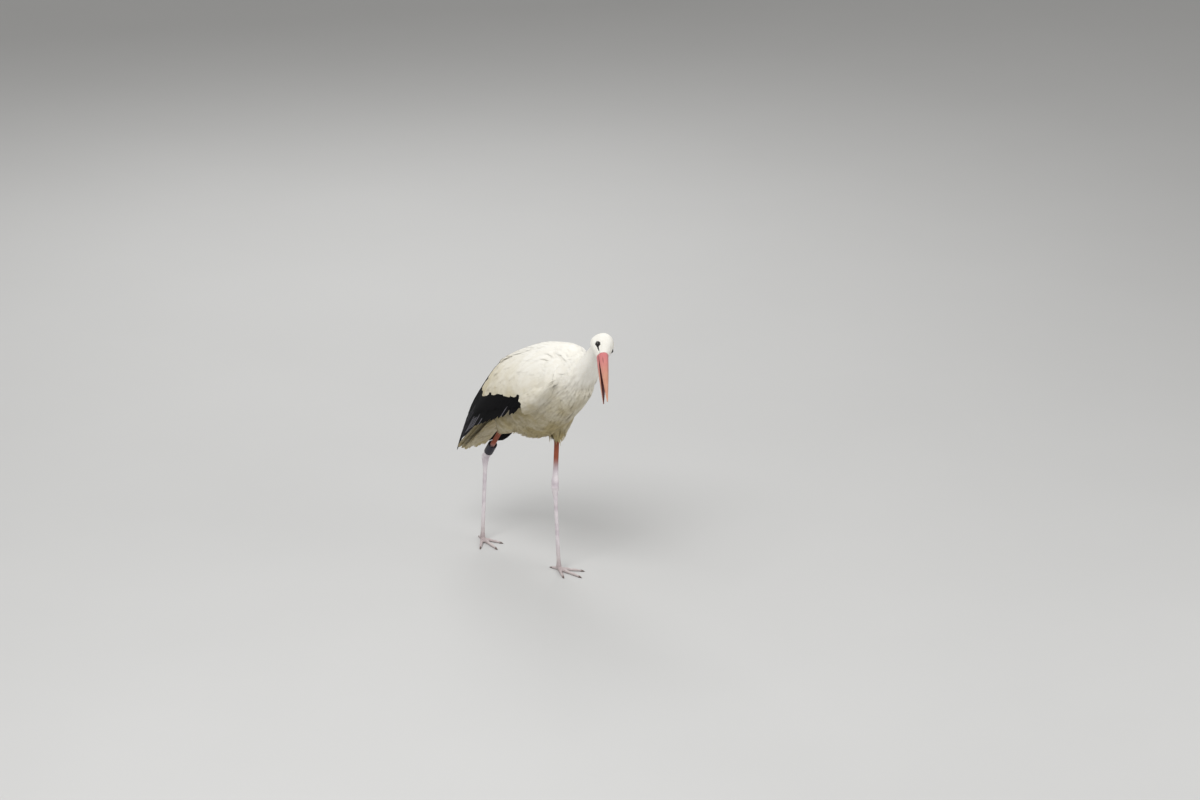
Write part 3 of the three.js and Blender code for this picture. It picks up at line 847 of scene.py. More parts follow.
def vanes(name, line, normals, half, roots, random, *, columns=4, point=0.3, thick=0.35, camber=0.1,
          overlap=0.05, ragged=0.06, mirror=False, more=None):
    """Feathers laid along given lines. `line` and `normals` are feathers x (steps + 1) x 3 in metres,
    `half` the greatest half width of each, and `roots` its place on the flat map. Across a vane, at x
    from -1 to 1, a point = line + side x half x outline x x, sunk by camber x x^2 and tilted by
    overlap x x, so that each feather lies over the next as tiles do. `mirror` makes them for the bird's
    other side."""
    count, rows = line.shape[:2]
    steps = rows - 1
    t = np.linspace(0, 1, rows)
    x = np.linspace(-1, 1, columns + 1)
    along = unit(np.gradient(line, axis=1))
    sideways = unit(np.cross(normals, along))
    normals = np.cross(along, sideways)
    uneven = 1 + ragged * random.standard_normal((count, rows, 2))
    width = half[:, None] * outline(t, point)
    reach = width[..., None] * np.where(x < 0, uneven[..., :1], uneven[..., 1:]) * x
    sink = -camber * width[..., None] * x ** 2 + overlap * width[..., None] * x
    sideways, normals = sideways[:, :, None], normals[:, :, None]
    middle = line[:, :, None] + sideways * reach[..., None] + normals * sink[..., None]
    belly = 0.5 * thick * MM * (1 - x ** 2) * (1.15 - t[:, None])
    upper = middle + normals * belly[None, ..., None]
    lower = (middle - normals * belly[None, ..., None])[:, 1:-1, 1:-1]
    points = np.concatenate([upper.reshape(count, -1, 3), lower.reshape(count, -1, 3)], axis=1)

    quads, rim = vane_faces(steps, columns)
    per_vane = len(rim)
    if mirror:
        points = points * [1, -1, 1] + [0, 2 * SHIFT[1] * MM, 0]
        quads = quads[:, ::-1]
    faces = (quads[None] + per_vane * np.arange(count)[:, None, None]).reshape(-1, 4)
    grid_uv = np.stack(np.broadcast_arrays(0.5 + 0.5 * x[None, :], t[:, None]), -1)
    flat = np.concatenate([grid_uv.reshape(-1, 2), grid_uv[1:-1, 1:-1].reshape(-1, 2)])
    own = np.tile(flat[quads.ravel()], (count, 1))
    patch = np.repeat(roots, len(quads) * 4, axis=0) + (own - 0.5) * PATCH
    tint = np.repeat(random.random(count), per_vane)
    extra = {key: np.repeat(value, per_vane) for key, value in (more or {}).items()}
    return mesh_data(name, points.reshape(-1, 3), faces, {"OFBake": patch, "Vane": own},
                     {"tint": tint, **extra}, np.tile(rim, count))


print("a vane of 5 steps and 4 columns has", 2 * len(vane_faces(5, 4)[0]), "triangles")

# %% Roots in staggered rows, and feathers that follow the skin
def rows_of_roots(name, start, end, spacing, random, jitter=0.25):
    """Places t and share round a part, in rings `spacing` mm apart. Along each ring the places stand
    evenly by length, and every second ring is shifted by half a place."""
    surface = PARTS[name][0]
    fine = np.linspace(start, end, 200)
    ridge = surface(fine, np.full(200, 0.25))
    length = np.concatenate([[0], np.cumsum(np.linalg.norm(np.diff(ridge, axis=0), axis=1))])
    rings = max(int(length[-1] / spacing), 2)
    places = []
    for ring, t in enumerate(np.interp(np.linspace(0, length[-1], rings), length, fine)):
        share = np.linspace(0, 1, 97)
        ring_points = surface(np.full(97, t), share)
        walked = np.concatenate([[0], np.cumsum(np.linalg.norm(np.diff(ring_points, axis=0), axis=1))])
        count = max(int(walked[-1] / spacing), 3)
        at = (np.arange(count) + 0.5 * (ring % 2) + jitter * random.standard_normal(count)) / count
        shaken = np.full(count, t) + jitter * (end - start) / rings * random.standard_normal(count)
        places.append(np.column_stack([shaken, np.interp(at % 1, walked / walked[-1], share)]))
    places = np.vstack(places)
    return np.clip(places[:, 0], start, end), places[:, 1]


HIDDEN = 0.0035                 # a place this far from the skin, in metres, lies inside the body


def on_skin(name, t, share):
    """The skin's points under such places, without those that lie inside the body."""
    where = metres(PARTS[name][0](t, share))
    index = nearest(skin_tree, where)
    open_air = np.linalg.norm(skin_points[index] - where, axis=1) < HIDDEN
    return index[open_air], t[open_air], share[open_air]


def map_place(name, t, share):
    """Where a root lies on the flat map of the skin."""
    left, bottom, width, height = ATLAS[name]
    start, end = PARTS[name][2]
    return np.column_stack([left + width * (t - start) / (end - start), bottom + height * share])


def laid(index, length, steps, rise, loose, hang):
    """Lines that start on the skin and follow the lie of the coat. A line climbs fast under the
    feathers before it and ends nearly flat: height = coat's depth x rise x (0.95 (1 - (1 - share)^3)
    + 0.05 share). Where the coat ends, `loose` keeps part of the height it had. `hang` mixes a pull
    straight down into the direction."""
    here, at = skin_points[index].copy(), index
    level = skin_depth[index]
    lines, normals = [here - soft_normals[at] * 0.0006], [soft_normals[at]]
    for k in range(1, steps + 1):
        share = k / steps
        direction = unit(skin_flow[at] - hang * share * UP)
        here = here + direction * (length / steps)[:, None]
        at = nearest(skin_tree, here)
        off = np.einsum("ij,ij->i", here - skin_points[at], soft_normals[at])
        free = hang * share * np.maximum(off, 0)
        here = here + soft_normals[at] * (free - off)[:, None]
        depth = np.maximum(skin_depth[at], loose * level)
        climb = rise * (0.95 * (1 - (1 - share) ** 3) + 0.05 * share)
        lines.append(here + soft_normals[at] * (depth * climb)[:, None])
        normals.append(soft_normals[at])
    return np.stack(lines, 1), np.stack(normals, 1)


trial = rows_of_roots("trunk", 0, 1, 20, np.random.default_rng(0))
print("on the trunk, 20 mm apart, there is room for", len(trial[0]), "roots")

# %% [markdown]
# Paint for plumage and skin
#
# White plumage is never one white. It is warmer and duller low on the breast and belly: partly a real
# stain where it brushes the grass, partly painted shade of the underside, which the light from above
# leaves darker, and painted yellowish light thrown up from the grass. Each feather differs a little
# from the next, and a fine grain of barbs runs out from each shaft. The mask for these stained and
# shaded places reads the place on the bird, so that skin and feathers carry the same markings and the
# same painted shade. Flight feathers are black with a cold sheen, and the outer webs of the
# secondaries are frosted with silver.

# %% Colours of the bird
WHITE = colour("f3f1ea")
# The cream and the dull colour below are laid low on the body: partly stain, partly painted shade of the
# underside and painted light from the grass. The dull colour also paints shade at the feathers' roots.
CREAM = colour("c2b386")
DULL_TONE_AND_SHADE = colour("7f6f48")
BLACK = colour("060608")
SILVER = colour("85838a")
BARB_COUNT = 60.0


def place_mask(paint, axis, low, high):
    """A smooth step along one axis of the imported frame, in metres."""
    split = paint.node("ShaderNodeSeparateXYZ", None, {0: paint.place()}, output=axis)
    return split.smooth(low, high)


def plumage_stain_and_shade(paint):
    """White, with cream and a duller tone low on the body, in soft blotches: partly stain, partly painted
    shade of the underside and painted light thrown up from the grass.
    """
    # painted shade: darker and yellower towards the bottom, where the underside lies in shade
    low = 1 - place_mask(paint, "Z", 0.35, 0.62)
    blotch = paint.noise(paint.place(), 22.0, 4.0).smooth(0.35, 0.7)
    streak = paint.noise(paint.place(), 70.0, 3.0).smooth(0.4, 0.75)
    cream = paint.mix((low * (0.68 + 0.5 * blotch)).clamped(), WHITE, CREAM)
    return paint.mix((low * low * (0.32 + 0.45 * streak)).clamped(), cream, DULL_TONE_AND_SHADE)


def barbs(paint, distance):
    """Fine ridges that leave the shaft at a slant: the sine of 60 turns x (share along - 0.6 x share
    out). Gives the shares across and along the vane, the mask of the shaft, and the bump."""
    uv = paint.node("ShaderNodeUVMap", {"uv_map": "Vane"})
    across, along = (paint.node("ShaderNodeSeparateXYZ", None, {0: uv}, output=axis) for axis in "XY")
    from_shaft = (across - 0.5).absolute()
    wave = ((along - 0.6 * from_shaft) * (BARB_COUNT * 2 * math.pi)).sine()
    shaft = 1 - from_shaft.smooth(0.01, 0.05)
    return across, along, shaft, paint.bump(wave * 0.5 + shaft * 1.5, distance, 0.5)


def plumage_paint():
    """White feathers: darker where they leave the skin, partly greyer down and partly painted shade from
    the feathers that lie over them, each with its own tint.
    """
    paint = Paint("white plumage", Roughness=0.82, Specular_IOR_Level=0.3, Sheen_Weight=0.15)
    _, along, _, bumped = barbs(paint, 0.0002)
    base = plumage_stain_and_shade(paint)
    tinted = paint.mix(paint.attribute("tint") * 0.12, base, CREAM)
    # painted shade: each vane darkens towards its root, where the feathers above would shade it
    rooted_and_shaded = paint.mix((1 - along.smooth(0.0, 0.5)) * 0.08, tinted, DULL_TONE_AND_SHADE)
    return paint.set(Base_Color=rooted_and_shaded, Normal=bumped)


def flight_paint():
    """Black flight feathers, their outer webs frosted with silver where the `silver` value says so."""
    paint = Paint("black flight feathers", Roughness=0.66, Specular_IOR_Level=0.07)
    across, along, shaft, bumped = barbs(paint, 0.00012)
    web = (1 - across.smooth(0.02, 0.12)) * along.smooth(0.25, 0.5) * (1 - along.smooth(0.86, 0.98))
    base = paint.mix(paint.attribute("tint") * 0.5, BLACK, colour("0d0c10"))
    frosted = paint.mix((web * paint.attribute("silver")).clamped(), base, SILVER)
    quill = paint.mix(shaft * 0.25, frosted, colour("19181c"))
    return paint.set(Base_Color=quill, Normal=bumped)


white_paint, black_paint = plumage_paint(), flight_paint()
print("plumage paints:", white_paint.name, "and", black_paint.name)

# %% [markdown]
# The coat, tract by tract
#
# Feathers grow in tracts. The face wears the smallest, no longer than a fingernail, and they grow
# down the neck into loose plumes. The breast carries long pointed plumes that hang free, a mark of
# the stork. Body feathers are broad and soft. Round each shin the trousers end in loose tips.

# %% Tracts that follow the skin
FACE = {"eye": 7.3, "lore": 1.9}        # radius of the bare patch, and half height of the bare streak
FAR_OFF = -9.0                          # what a point well clear of them gets, in mm


def face_distance(points):
    """How far inside the bare face a point lies, in mm: positive round the eye and on the streak from
    the eye to the corner of the bill."""
    ahead, left, up = off_head(points)
    round_eye = FACE["eye"] - np.hypot((ahead + EYE_BACK - 2) / 1.12, up - EYE_UP - 0.4)
    share = np.clip((ahead + EYE_BACK) / EYE_BACK, 0, 1)
    middle = EYE_UP - 6 * share
    streak = FACE["lore"] * (1.9 - 1.3 * share) - np.abs(up - middle)
    streak = np.where((ahead > -EYE_BACK) & (ahead < 6), streak, FAR_OFF)
    return np.where(np.abs(left) > 8, np.maximum(round_eye, streak), FAR_OFF)


def coat_piece(name, line, normals, half, places, random, paint=white_paint, slot="plumage_white",
               replaces=(), **look):
    """Feathers along given lines, of half widths `half` in mm, as one piece of the coat."""
    half = np.broadcast_to(half, len(line)) * MM
    mesh = vanes(name, line, normals, half, places, random, **look)
    print(f"{name}: {len(line)} feathers, {2 * len(mesh.polygons)} triangles")
    piece(mesh, paint, slot, replaces)


def tract(name, region, start, end, spacing, length, half, steps, columns, keep=None, seed=0,
          scale=None, lowest=0, rise=0.92, loose=0.5, hang=0.0, **look):
    """One tract of coat as one piece. `keep` chooses roots by their numbers on the skin, `scale` gives
    a factor on the size at each root, and no feather hangs below the height `lowest`, in mm."""
    random = np.random.default_rng(seed + 11)
    t, share = rows_of_roots(region, start, end, spacing, random)
    index, t, share = on_skin(region, t, share)
    if keep is not None:
        chosen = keep(index)
        index, t, share = index[chosen], t[chosen], share[chosen]
    size = np.ones(len(index)) if scale is None else scale(index)
    lengths = length * MM * size * (1 + 0.12 * random.standard_normal(len(index)))
    line, normals = laid(index, lengths, steps, rise, loose, hang)
    halves = half * size * (1 + 0.1 * random.standard_normal(len(index)))
    high = line[:, -1, 2] > lowest * MM
    places = map_place(region, t[high], share[high])
    coat_piece(name, line[high], normals[high], halves[high], places, random, columns=columns, **look)


def feathered(index):
    """Roots off the bare face; behind the eye they come closer, since they point away from it."""
    ahead = off_head(skin_points[index])[0]
    return face_distance(skin_points[index]) < np.where(ahead < -EYE_BACK, 1.6, 0.3)


def toward_nape(index):
    """Face feathers are two thirds the size of those at the nape."""
    return 0.85 + 0.45 * smoothstep(-skin_t[index], -0.75, -0.1)


LOWEST_TROUSERS = {"left": 326, "right": 306}       # no feather of the trousers ends lower, in mm

tract("coat_head", "head", 0.02, 0.985, 1.6, 7.5, 1.7, 3, 2, keep=feathered, seed=1, point=0.4,
      scale=toward_nape, thick=0.1, camber=0.04, overlap=0.015, rise=0.85)
tract("coat_neck", "neck", 0.0, 1.0, 2.9, 22, 3.7, 4, 2, seed=2, point=0.6, thick=0.15, camber=0.04,
      overlap=0.02, scale=lambda index: 1.3 - 0.65 * smoothstep(skin_t[index], 0.1, 0.95))
tract("coat_body", "trunk", 0.0, 1.0, 7.2, 40, 7.2, 5, 4, seed=3, point=0.35, camber=0.07, overlap=0.03)
for number, side in enumerate(LEGS):
    tract(f"coat_thigh_{side}", "thigh_" + side, 0.03, 1.0, 4.2, 38, 3.5, 5, 2, seed=5 + number,
          lowest=LOWEST_TROUSERS[side], point=0.9, loose=0.6, thick=0.2, camber=0.05, overlap=0.02,
          scale=lambda index: 0.35 + 0.65 * smoothstep(skin_t[index], 0.05, 0.6))

# %% Long plumes of the breast, and the hem of the belly
def drawn_x(index):
    """How far ahead of the left ankle a point of the skin lies, in mm."""
    return skin_points[index, 0] / MM - SHIFT[0]


def on_breast(index):
    """Roots on the front and the underside of the breast."""
    return (soft_normals[index, 2] < 0.3) & (drawn_x(index) > 5)


def on_throat(index):
    """Roots on the front and the sides of the neck."""
    return soft_normals[index, 2] < 0.2


def on_hem(index):
    """Roots low on the belly, round the place where the left shin comes out."""
    return (soft_normals[index, 2] < -0.45) & (drawn_x(index) > -120) & (drawn_x(index) < 75)


PLUME = dict(point=0.95, loose=1.0, thick=0.2, camber=0.05, overlap=0.02)
LOWEST_PLUMES = 330
tract("breast_plumes", "trunk", 0.02, 0.5, 6.6, 74, 3.6, 8, 2, keep=on_breast, seed=12,
      lowest=LOWEST_PLUMES, rise=1.06, hang=0.22, **PLUME)
tract("neck_plumes", "neck", 0.0, 0.45, 6.5, 58, 3.0, 7, 2, keep=on_throat, seed=13, rise=1.05, hang=0.2,
      **PLUME)
tract("belly_hem", "trunk", 0.2, 0.85, 7.4, 42, 3.4, 6, 2, keep=on_hem, seed=14, lowest=LOWEST_PLUMES,
      rise=1.04, hang=0.55, **PLUME)

# %% [markdown]
# The folded wing
#
# A folded wing is a pack of tiles. Small white coverts cover the arm in rows, the long white
# scapulars fall over them from the shoulder, black greater coverts stick out below their ragged
# edge, and under those lie the secondaries, each showing the silver edge of the one below. Last come
# the primaries, staggered to the wing's tip. We draw all of them on the wing's own chart, s along and
# v down, and lift each to its own layer. The right wing is the left one mirrored.

# %% Lines on the wing's chart
def wing_lines(s0, v0, s1, v1, low, high, steps, curl=0.0):
    """Lines over the left wing between places on its chart. Height over the chart runs from `low` at
    the root to `high` at the tip, with the same quick climb as the body's feathers, and `curl` bows
    a line downwards on the chart."""
    share = np.linspace(0, 1, steps + 1)
    column = [np.asarray(a, float)[:, None] for a in np.broadcast_arrays(s0, v0, s1, v1, low, high)]
    s0, v0, s1, v1, low, high = column
    s = s0 + (s1 - s0) * share
    v = v0 + (v1 - v0) * share + curl * share * (1 - share)
    climb = 0.85 * (1 - (1 - share) ** 2.4) + 0.15 * share
    proud = low + (high - low) * climb
    out = wing_surface(s, v, proud + 1) - wing_surface(s, v, proud)
    normals = unit(np.cross(*slopes(lambda s, v: wing_surface(s, v, proud), s, v, 0.003)))
    normals *= np.sign(np.einsum("ijk,ijk->ij", normals, out))[..., None]
    return metres(wing_surface(s, v, proud)), normals


def chart_scale(s, v):
    """Millimetres for a whole step along s and along v, at places on the chart."""
    e = 0.004
    return [np.linalg.norm(step, axis=-1) / (2 * e) for step in slopes(wing_surface, s, v, e)]


def dice(seed, side):
    """Random numbers of its own for each layer and side."""
    return np.random.default_rng(seed + (side == "right"))


def wing_piece(name, side, lines, half, roots, random, **look):
    """A layer of feathers on one wing."""
    places = map_place("wing_" + side, *roots)
    coat_piece(f"{name}_{side}", *lines, half, places, random, mirror=side == "right", **look)


print("the chart's middle, mm for a whole step along and down:", *(n.round() for n in chart_scale(0.5, 0.5)))

# %% White coverts and scapulars
def scattered(first, second, random, spread_first, spread_second):
    """Every pair of two lists of numbers, a little shaken."""
    a, b = (grid.ravel() for grid in np.meshgrid(first, second))
    return (a + spread_first * random.standard_normal(len(a)),
            b + spread_second * random.standard_normal(len(b)))


def covert_roots(random):
    """Rows across the chart, 10 mm apart, with roots 8.5 mm apart, shifted in every second row."""
    places = []
    for ring, s in enumerate(np.arange(0.012, 0.6, 0.0165)):
        _, down = chart_scale(np.array([s]), np.array([0.5]))
        count = max(int(down[0] / 8.5), 4)
        v = (np.arange(count) + 0.25 + 0.5 * (ring % 2)) / count
        places.append(np.column_stack([np.full(count, s), v]))
    places = np.vstack(places)
    return (places + random.standard_normal(places.shape) * [0.003, 0.008]).T


def white_coverts(side):
    """Short rounded feathers down to the black border, longer and steeper towards the wing's tip."""
    random = dice(41, side)
    s, v = covert_roots(random)
    v = np.clip(v, 0.01, 0.99)
    along, down = chart_scale(s, v)
    length = 20 + 26 * smoothstep(s, 0.02, 0.3) + 14 * smoothstep(s, 0.3, 0.55)
    length *= 1 + 0.1 * random.standard_normal(len(s))
    slant = np.radians(4 + 30 * v * smoothstep(s, 0.1, 0.4))
    s_tip, v_tip = s + length * np.cos(slant) / along, v + length * np.sin(slant) / down
    ragged = 0.02 * random.standard_normal(len(s))
    white = (v_tip < black_border(s_tip) + ragged) & (s_tip < WHITE_ENDS + 0.012 + ragged)
    white &= (s > 0.3) | (v_tip < 0.93)
    s, v, s_tip, v_tip, length = (a[white] for a in (s, v, s_tip, v_tip, length))
    half = 4.5 + 0.155 * length
    height = COVERT_STEP + 0.4 * random.standard_normal(len(s))
    lines = wing_lines(s, v, s_tip, v_tip, -WING_COAT - 0.5, height, 5)
    wing_piece("coverts", side, lines, half, (s, v), random, point=0.3)


def scapulars(side):
    """Long soft feathers from the shoulder that fall over the wing's upper edge."""
    random = dice(51, side)
    s, v = scattered(np.linspace(0.1, 0.42, 11), np.linspace(0.0, 0.26, 5), random, 0.006, 0.012)
    v = np.maximum(v, 0.035)
    along, down = chart_scale(s, v)
    length = (62 + 40 * smoothstep(s, 0.1, 0.4)) * (1 + 0.08 * random.standard_normal(len(s)))
    slant = np.radians(8 + 26 * v / 0.26)
    s_tip = np.minimum(s + length * np.cos(slant) / along, WHITE_ENDS + 0.01)
    v_tip = v + length * np.sin(slant) / down
    lines = wing_lines(s, v, s_tip, v_tip, -2.0, 4.2 - 4 * v + 0.5 * random.standard_normal(len(s)), 6)
    wing_piece("scapulars", side, lines, 11.5, (s, v), random, point=0.45)


SOFT = dict(camber=0.05, overlap=0.02, thick=0.25)      # the look of loose plumes


def draped(name, side, first, middle, last, out_first, out_last, half, roots, random, point):
    """Plumes along curves of second degree that start at `first`, pass `middle` half way and end at
    `last`: (1 - k)^2 first + 2 k (1 - k) bend + k^2 last, with bend = 2 middle - (first + last) / 2."""
    bend = 2 * middle - 0.5 * (first + last)
    k = np.linspace(0, 1, 9)[None, :, None]
    line = (1 - k) ** 2 * first[:, None] + 2 * k * (1 - k) * bend[:, None] + k ** 2 * last[:, None]
    normals = unit((1 - k) * out_first[:, None] + k * out_last[:, None])
    coat_piece(f"{name}_{side}", line, normals, half, map_place("wing_" + side, *roots), random,
               point=point, **SOFT)


def flank_line(sign):
    """Where the flank's coat meets the wing's lower front edge, as three cubics of s: the top of the
    coat a finger's width outside the edge."""
    s = np.linspace(0, 0.36, 37)
    edge, above = wing_surface(s, 1.0, 0.0, sign), wing_surface(s, 0.9, 0.0, sign)
    aside = edge + 24 * unit(edge - above) - np.array([0, 6.0 * sign, 0])
    at = BODY_POINTS[nearest(body_tree, metres(aside))]
    top = skin_points[at] + soft_normals[at] * (0.92 * skin_depth[at])[:, None]
    return [np.polynomial.Polynomial.fit(s, column, 3) for column in drawn(top).T]


def side_sheet(line, s, w, height, sign):
    """A slope over the wing's lower front edge, a curve of second degree across: w = 0 lies on the
    wing, w = 0.5 just over its edge and w = 1 on the flank. Height is laid off square to it."""
    def slope(s, w):
        w = np.asarray(w, float)[..., None]
        rear = smoothstep(s, 0.14, 0.32)
        first = wing_surface(s, 0.8, 3.8 - 1.6 * rear, sign)
        middle = wing_surface(s, 0.985, 7 - 6 * rear, sign)
        last = np.stack([cubic(s) for cubic in line], -1)
        bend = 2 * middle - 0.5 * (first + last)
        return (1 - w) ** 2 * first + 2 * w * (1 - w) * bend + w ** 2 * last

    out = unit(np.cross(*slopes(slope, s, w, 0.01)))
    out = out * np.sign(out[..., 1:2] * sign)
    return slope(s, w) + out * np.asarray(height, float)[..., None], out


def side_plumes(side):
    """Plumes of the breast's side, laid along the slope so that no step shows where the folded wing
    meets the flank."""
    random = dice(57, side)
    s, w = scattered(np.linspace(0.0, 0.25, 22), np.linspace(0.02, 0.94, 8), random, 0.005, 0.04)
    s = np.clip(s, 0, 1)
    k = np.linspace(0, 1, 8)[None, :]
    tip = np.minimum(s + 0.09 + 0.01 * random.standard_normal(len(s)), 0.255 + 0.05 * w)
    top = (1.6 + 0.5 * random.standard_normal(len(s)))[:, None]
    points, normals = side_sheet(flank_line(SIGN[side]), s[:, None] + (tip - s)[:, None] * k,
                                 w[:, None] + 0.14 * k, -4 + (4 + top) * (1 - (1 - k) ** 3), SIGN[side])
    places = map_place("wing_" + side, s, np.full(len(s), 0.95))
    coat_piece(f"side_plumes_{side}", metres(points), normals, 4.6, places, random, point=0.75, **SOFT)


def wing_normals(s, v, sign):
    """Outward normals of the wing's surface: the cross product of its slopes along s and v."""
    normals = unit(np.cross(*slopes(wing_surface, s, v, 0.01)))
    outwards = wing_surface(s, v, 1.0) - wing_surface(s, v) + 0.5 * UP
    return normals * np.sign(np.einsum("ij,ij->i", normals, outwards))[:, None] * [1, sign, 1]


def shoulder_plumes(side):
    """A cape of plumes from the base of the neck back over the wrist of the folded wing."""
    random, sign = dice(67, side), SIGN[side]
    s, v = scattered(np.linspace(0.03, 0.17, 9), np.linspace(0.1, 0.98, 22), random, 0.007, 0.012)
    s, v = np.maximum(s, 0.02), np.clip(v, 0.05, 0.99)
    last = wing_surface(s, v, 3.6 - 6 * s, sign)
    rim = wing_surface(np.maximum(s - 0.075, 0.004), v, 4.5, sign)
    ahead = rim + np.array([34.0, -9.0 * sign, 6.0])
    at = nearest(skin_tree, metres(ahead))
    draped("shoulder_plumes", side, skin_points[at], metres(rim), metres(last), soft_normals[at],
           wing_normals(s, v, sign), 6.0, (s, v), random, 0.5)


for side in LEGS:
    white_coverts(side)
    scapulars(side)
    side_plumes(side)
    shoulder_plumes(side)

# %% The mantle, over the upper edges of both wings
MANTLE = np.array([             # x, height, half the width that it covers, radius across
    [118, 611, 27, 33], [85, 622, 28, 36], [40, 616.5, 26, 33], [-25, 600, 21, 28], [-90, 570.5, 16, 21],
    [-150, 538.5, 11, 15], [-196, 508, 8, 12]], float)


def mantle_sheet(t, share, height):
    """The ridge line at t with a parabola across it: y = share x half width, and it falls by
    y^2 / (2 radius). Height is laid off along the sheet's normal."""
    t, share, height = np.broadcast_arrays(np.asarray(t, float), share, height)
    path = track(MANTLE)
    x, z, half, radius = np.moveaxis(path(t), -1, 0)
    slope = path(np.minimum(t + 0.01, 1)) - path(np.maximum(t - 0.01, 0))
    y = share * half
    normals = unit(np.stack([-slope[..., 1] / slope[..., 0], y / radius, np.ones(t.shape)], -1))
    return np.stack([x, y, z - y ** 2 / (2 * radius)], -1) + normals * height[..., None], normals


def mantle():
    """Feathers along the ridge from neck to rump, nine across, that hide where the wings meet."""
    random = np.random.default_rng(59)
    t, share = scattered(np.linspace(0.0, 0.86, 30), np.linspace(-1, 1, 9), random, 0.01, 0.06)
    t = np.clip(t, 0, 1)
    k = np.linspace(0, 1, 8)[None, :]
    climb = 0.9 * (1 - (1 - k) ** 3) + 0.1 * k
    reach = (0.15 + 0.01 * random.standard_normal(len(t)))[:, None]
    top = (2.0 + 0.25 * random.standard_normal(len(t)))[:, None]
    points, normals = mantle_sheet(np.minimum(t[:, None] + reach * k, 1), share[:, None] * (1 + 0.16 * k),
                                   -8 + (8 + top) * climb)
    places = map_place("trunk", np.clip(0.1 + 0.7 * t, 0, 1), 0.25 + 0.1 * share)
    coat_piece("mantle", metres(points), normals, 6.2 + 0.8 * smoothstep(t, 0, 0.2) - 2.4 * t, places,
               random, point=0.6, camber=0.06, overlap=0.02, thick=0.25)


mantle()

# %% Black greater coverts, secondaries and tertials
FANS = [        # count; first and last root s and v, tip s and v, low, high and half width; bow, frost
    (15, (0.2, 0.56), (0.55, 0.5), (0.33, 0.8), (1.0, 0.99), (-9, -5), (-3.5, -1), (12, 15), 0.02, 1.0),
    (9, (0.36, 0.52), (0.4, 0.3), (0.6, 0.84), (0.94, 0.72), (-6, -4), (-1.5, 0), (15, 15), 0.02, 0.5),
    (8, (0.42, 0.5), (0.3, 0.04), (0.76, 0.86), (0.6, 0.1), (-4, -3), (-0.5, 1), (15, 14), 0.0, 0.0),
    (16, (0.17, 0.52), (0.66, 0.36), (0.29, 0.66), (0.96, 0.78), (-5, -4), (0.2, 1.6), (10, 14), 0.0, 0.0),
]


def black_feathers(side):
    """The black pack of one wing, from the lowest layer up: two fans of secondaries, the tertials and
    the greater coverts. In each fan the numbers go evenly from the first feather's to the last's."""
    random = dice(61, side)
    stacks = []
    for count, *ends, bow, frost in FANS:
        frosted = frost * (random.random(count) < 0.4)
        stacks.append([np.linspace(*pair, count) for pair in ends] + [np.full(count, bow), frosted])
    s0, v0, s1, v1, low, high, half, curl, silver = np.concatenate(stacks, axis=1)
    s1 = s1 + 0.006 * random.standard_normal(len(s1))
    lines = wing_lines(s0, v0, s1, v1, low, high, 8, curl[:, None])
    wing_piece("secondaries", side, lines, half, (s0, v0), random, paint=black_paint, slot="flight_black",
               replaces=(f"wing_{side}_secondaries",), point=0.15, columns=6, camber=0.03, overlap=-0.04,
               ragged=0.02, more={"silver": silver})


def primaries(side):
    """Eight long feathers under the tertials, whose tips follow each other to the wing's tip."""
    random = dice(71, side)
    count = 8
    droop = 0.5 if side == "left" else 0.0
    rank = np.linspace(0, 1, count)
    s0, v0, low, high = (first + (last - first) * rank for first, last in (
        (0.58, 0.64), (0.86, 0.55), (-4, -3), (-2.2, 0)))
    s1, v1 = 0.86 + 0.135 * rank ** 0.6, np.linspace(1.08 + droop, 0.6, count)
    lines = wing_lines(s0, v0, s1, v1, low, high, 8)
    wing_piece("primaries", side, lines, 12 - rank, (s0, v0), random, paint=black_paint,
               slot="flight_black", replaces=(f"wing_{side}_primaries",), point=0.24, columns=6,
               camber=0.05, overlap=-0.05, ragged=0.015, more={"silver": np.full(count, 0.25)})


for side in LEGS:
    black_feathers(side)
    primaries(side)

# %% [markdown]
# The tail
#
# Twelve white feathers, folded to the width of a hand. The middle pair lies on top, and each of the
# others lies under its neighbour. Soft coverts hide their quills above, and longer ones below.

# %% Tail feathers
def tail_sheet(t, across, height):
    """A point of the tail: share t of its length, across its middle line and over it, in mm."""
    t, across, height = np.broadcast_arrays(np.asarray(t, float), across, height)
    path = track(TAIL[:, :3])
    ahead = heading(path, t)
    over = unit(UP - ahead * ahead[..., 2:])
    return path(t) + np.cross(over, ahead) * across[..., None] + over * height[..., None], over


def tail_layer(name, t0, t1, across0, across1, low, high, half, seed, steps=7, down=False, **look):
    """Feathers over the tail between shares t0 and t1, and between two places across. Height goes
    from low to high as share^0.6."""
    share = np.linspace(0, 1, steps + 1)
    t0, t1, across0, across1, low, high = (
        np.asarray(a, float)[:, None] for a in np.broadcast_arrays(t0, t1, across0, across1, low, high))
    points, over = tail_sheet(t0 + (t1 - t0) * share, across0 + (across1 - across0) * share,
                              low + (high - low) * share ** 0.6)
    normals = -over if down else over
    places = map_place("tail", np.clip(t0[:, 0] * 0.35, 0, 0.35), np.clip(0.5 + across0[:, 0] / 90, 0, 1))
    coat_piece(name, metres(points), normals, half, places, np.random.default_rng(seed), **look)


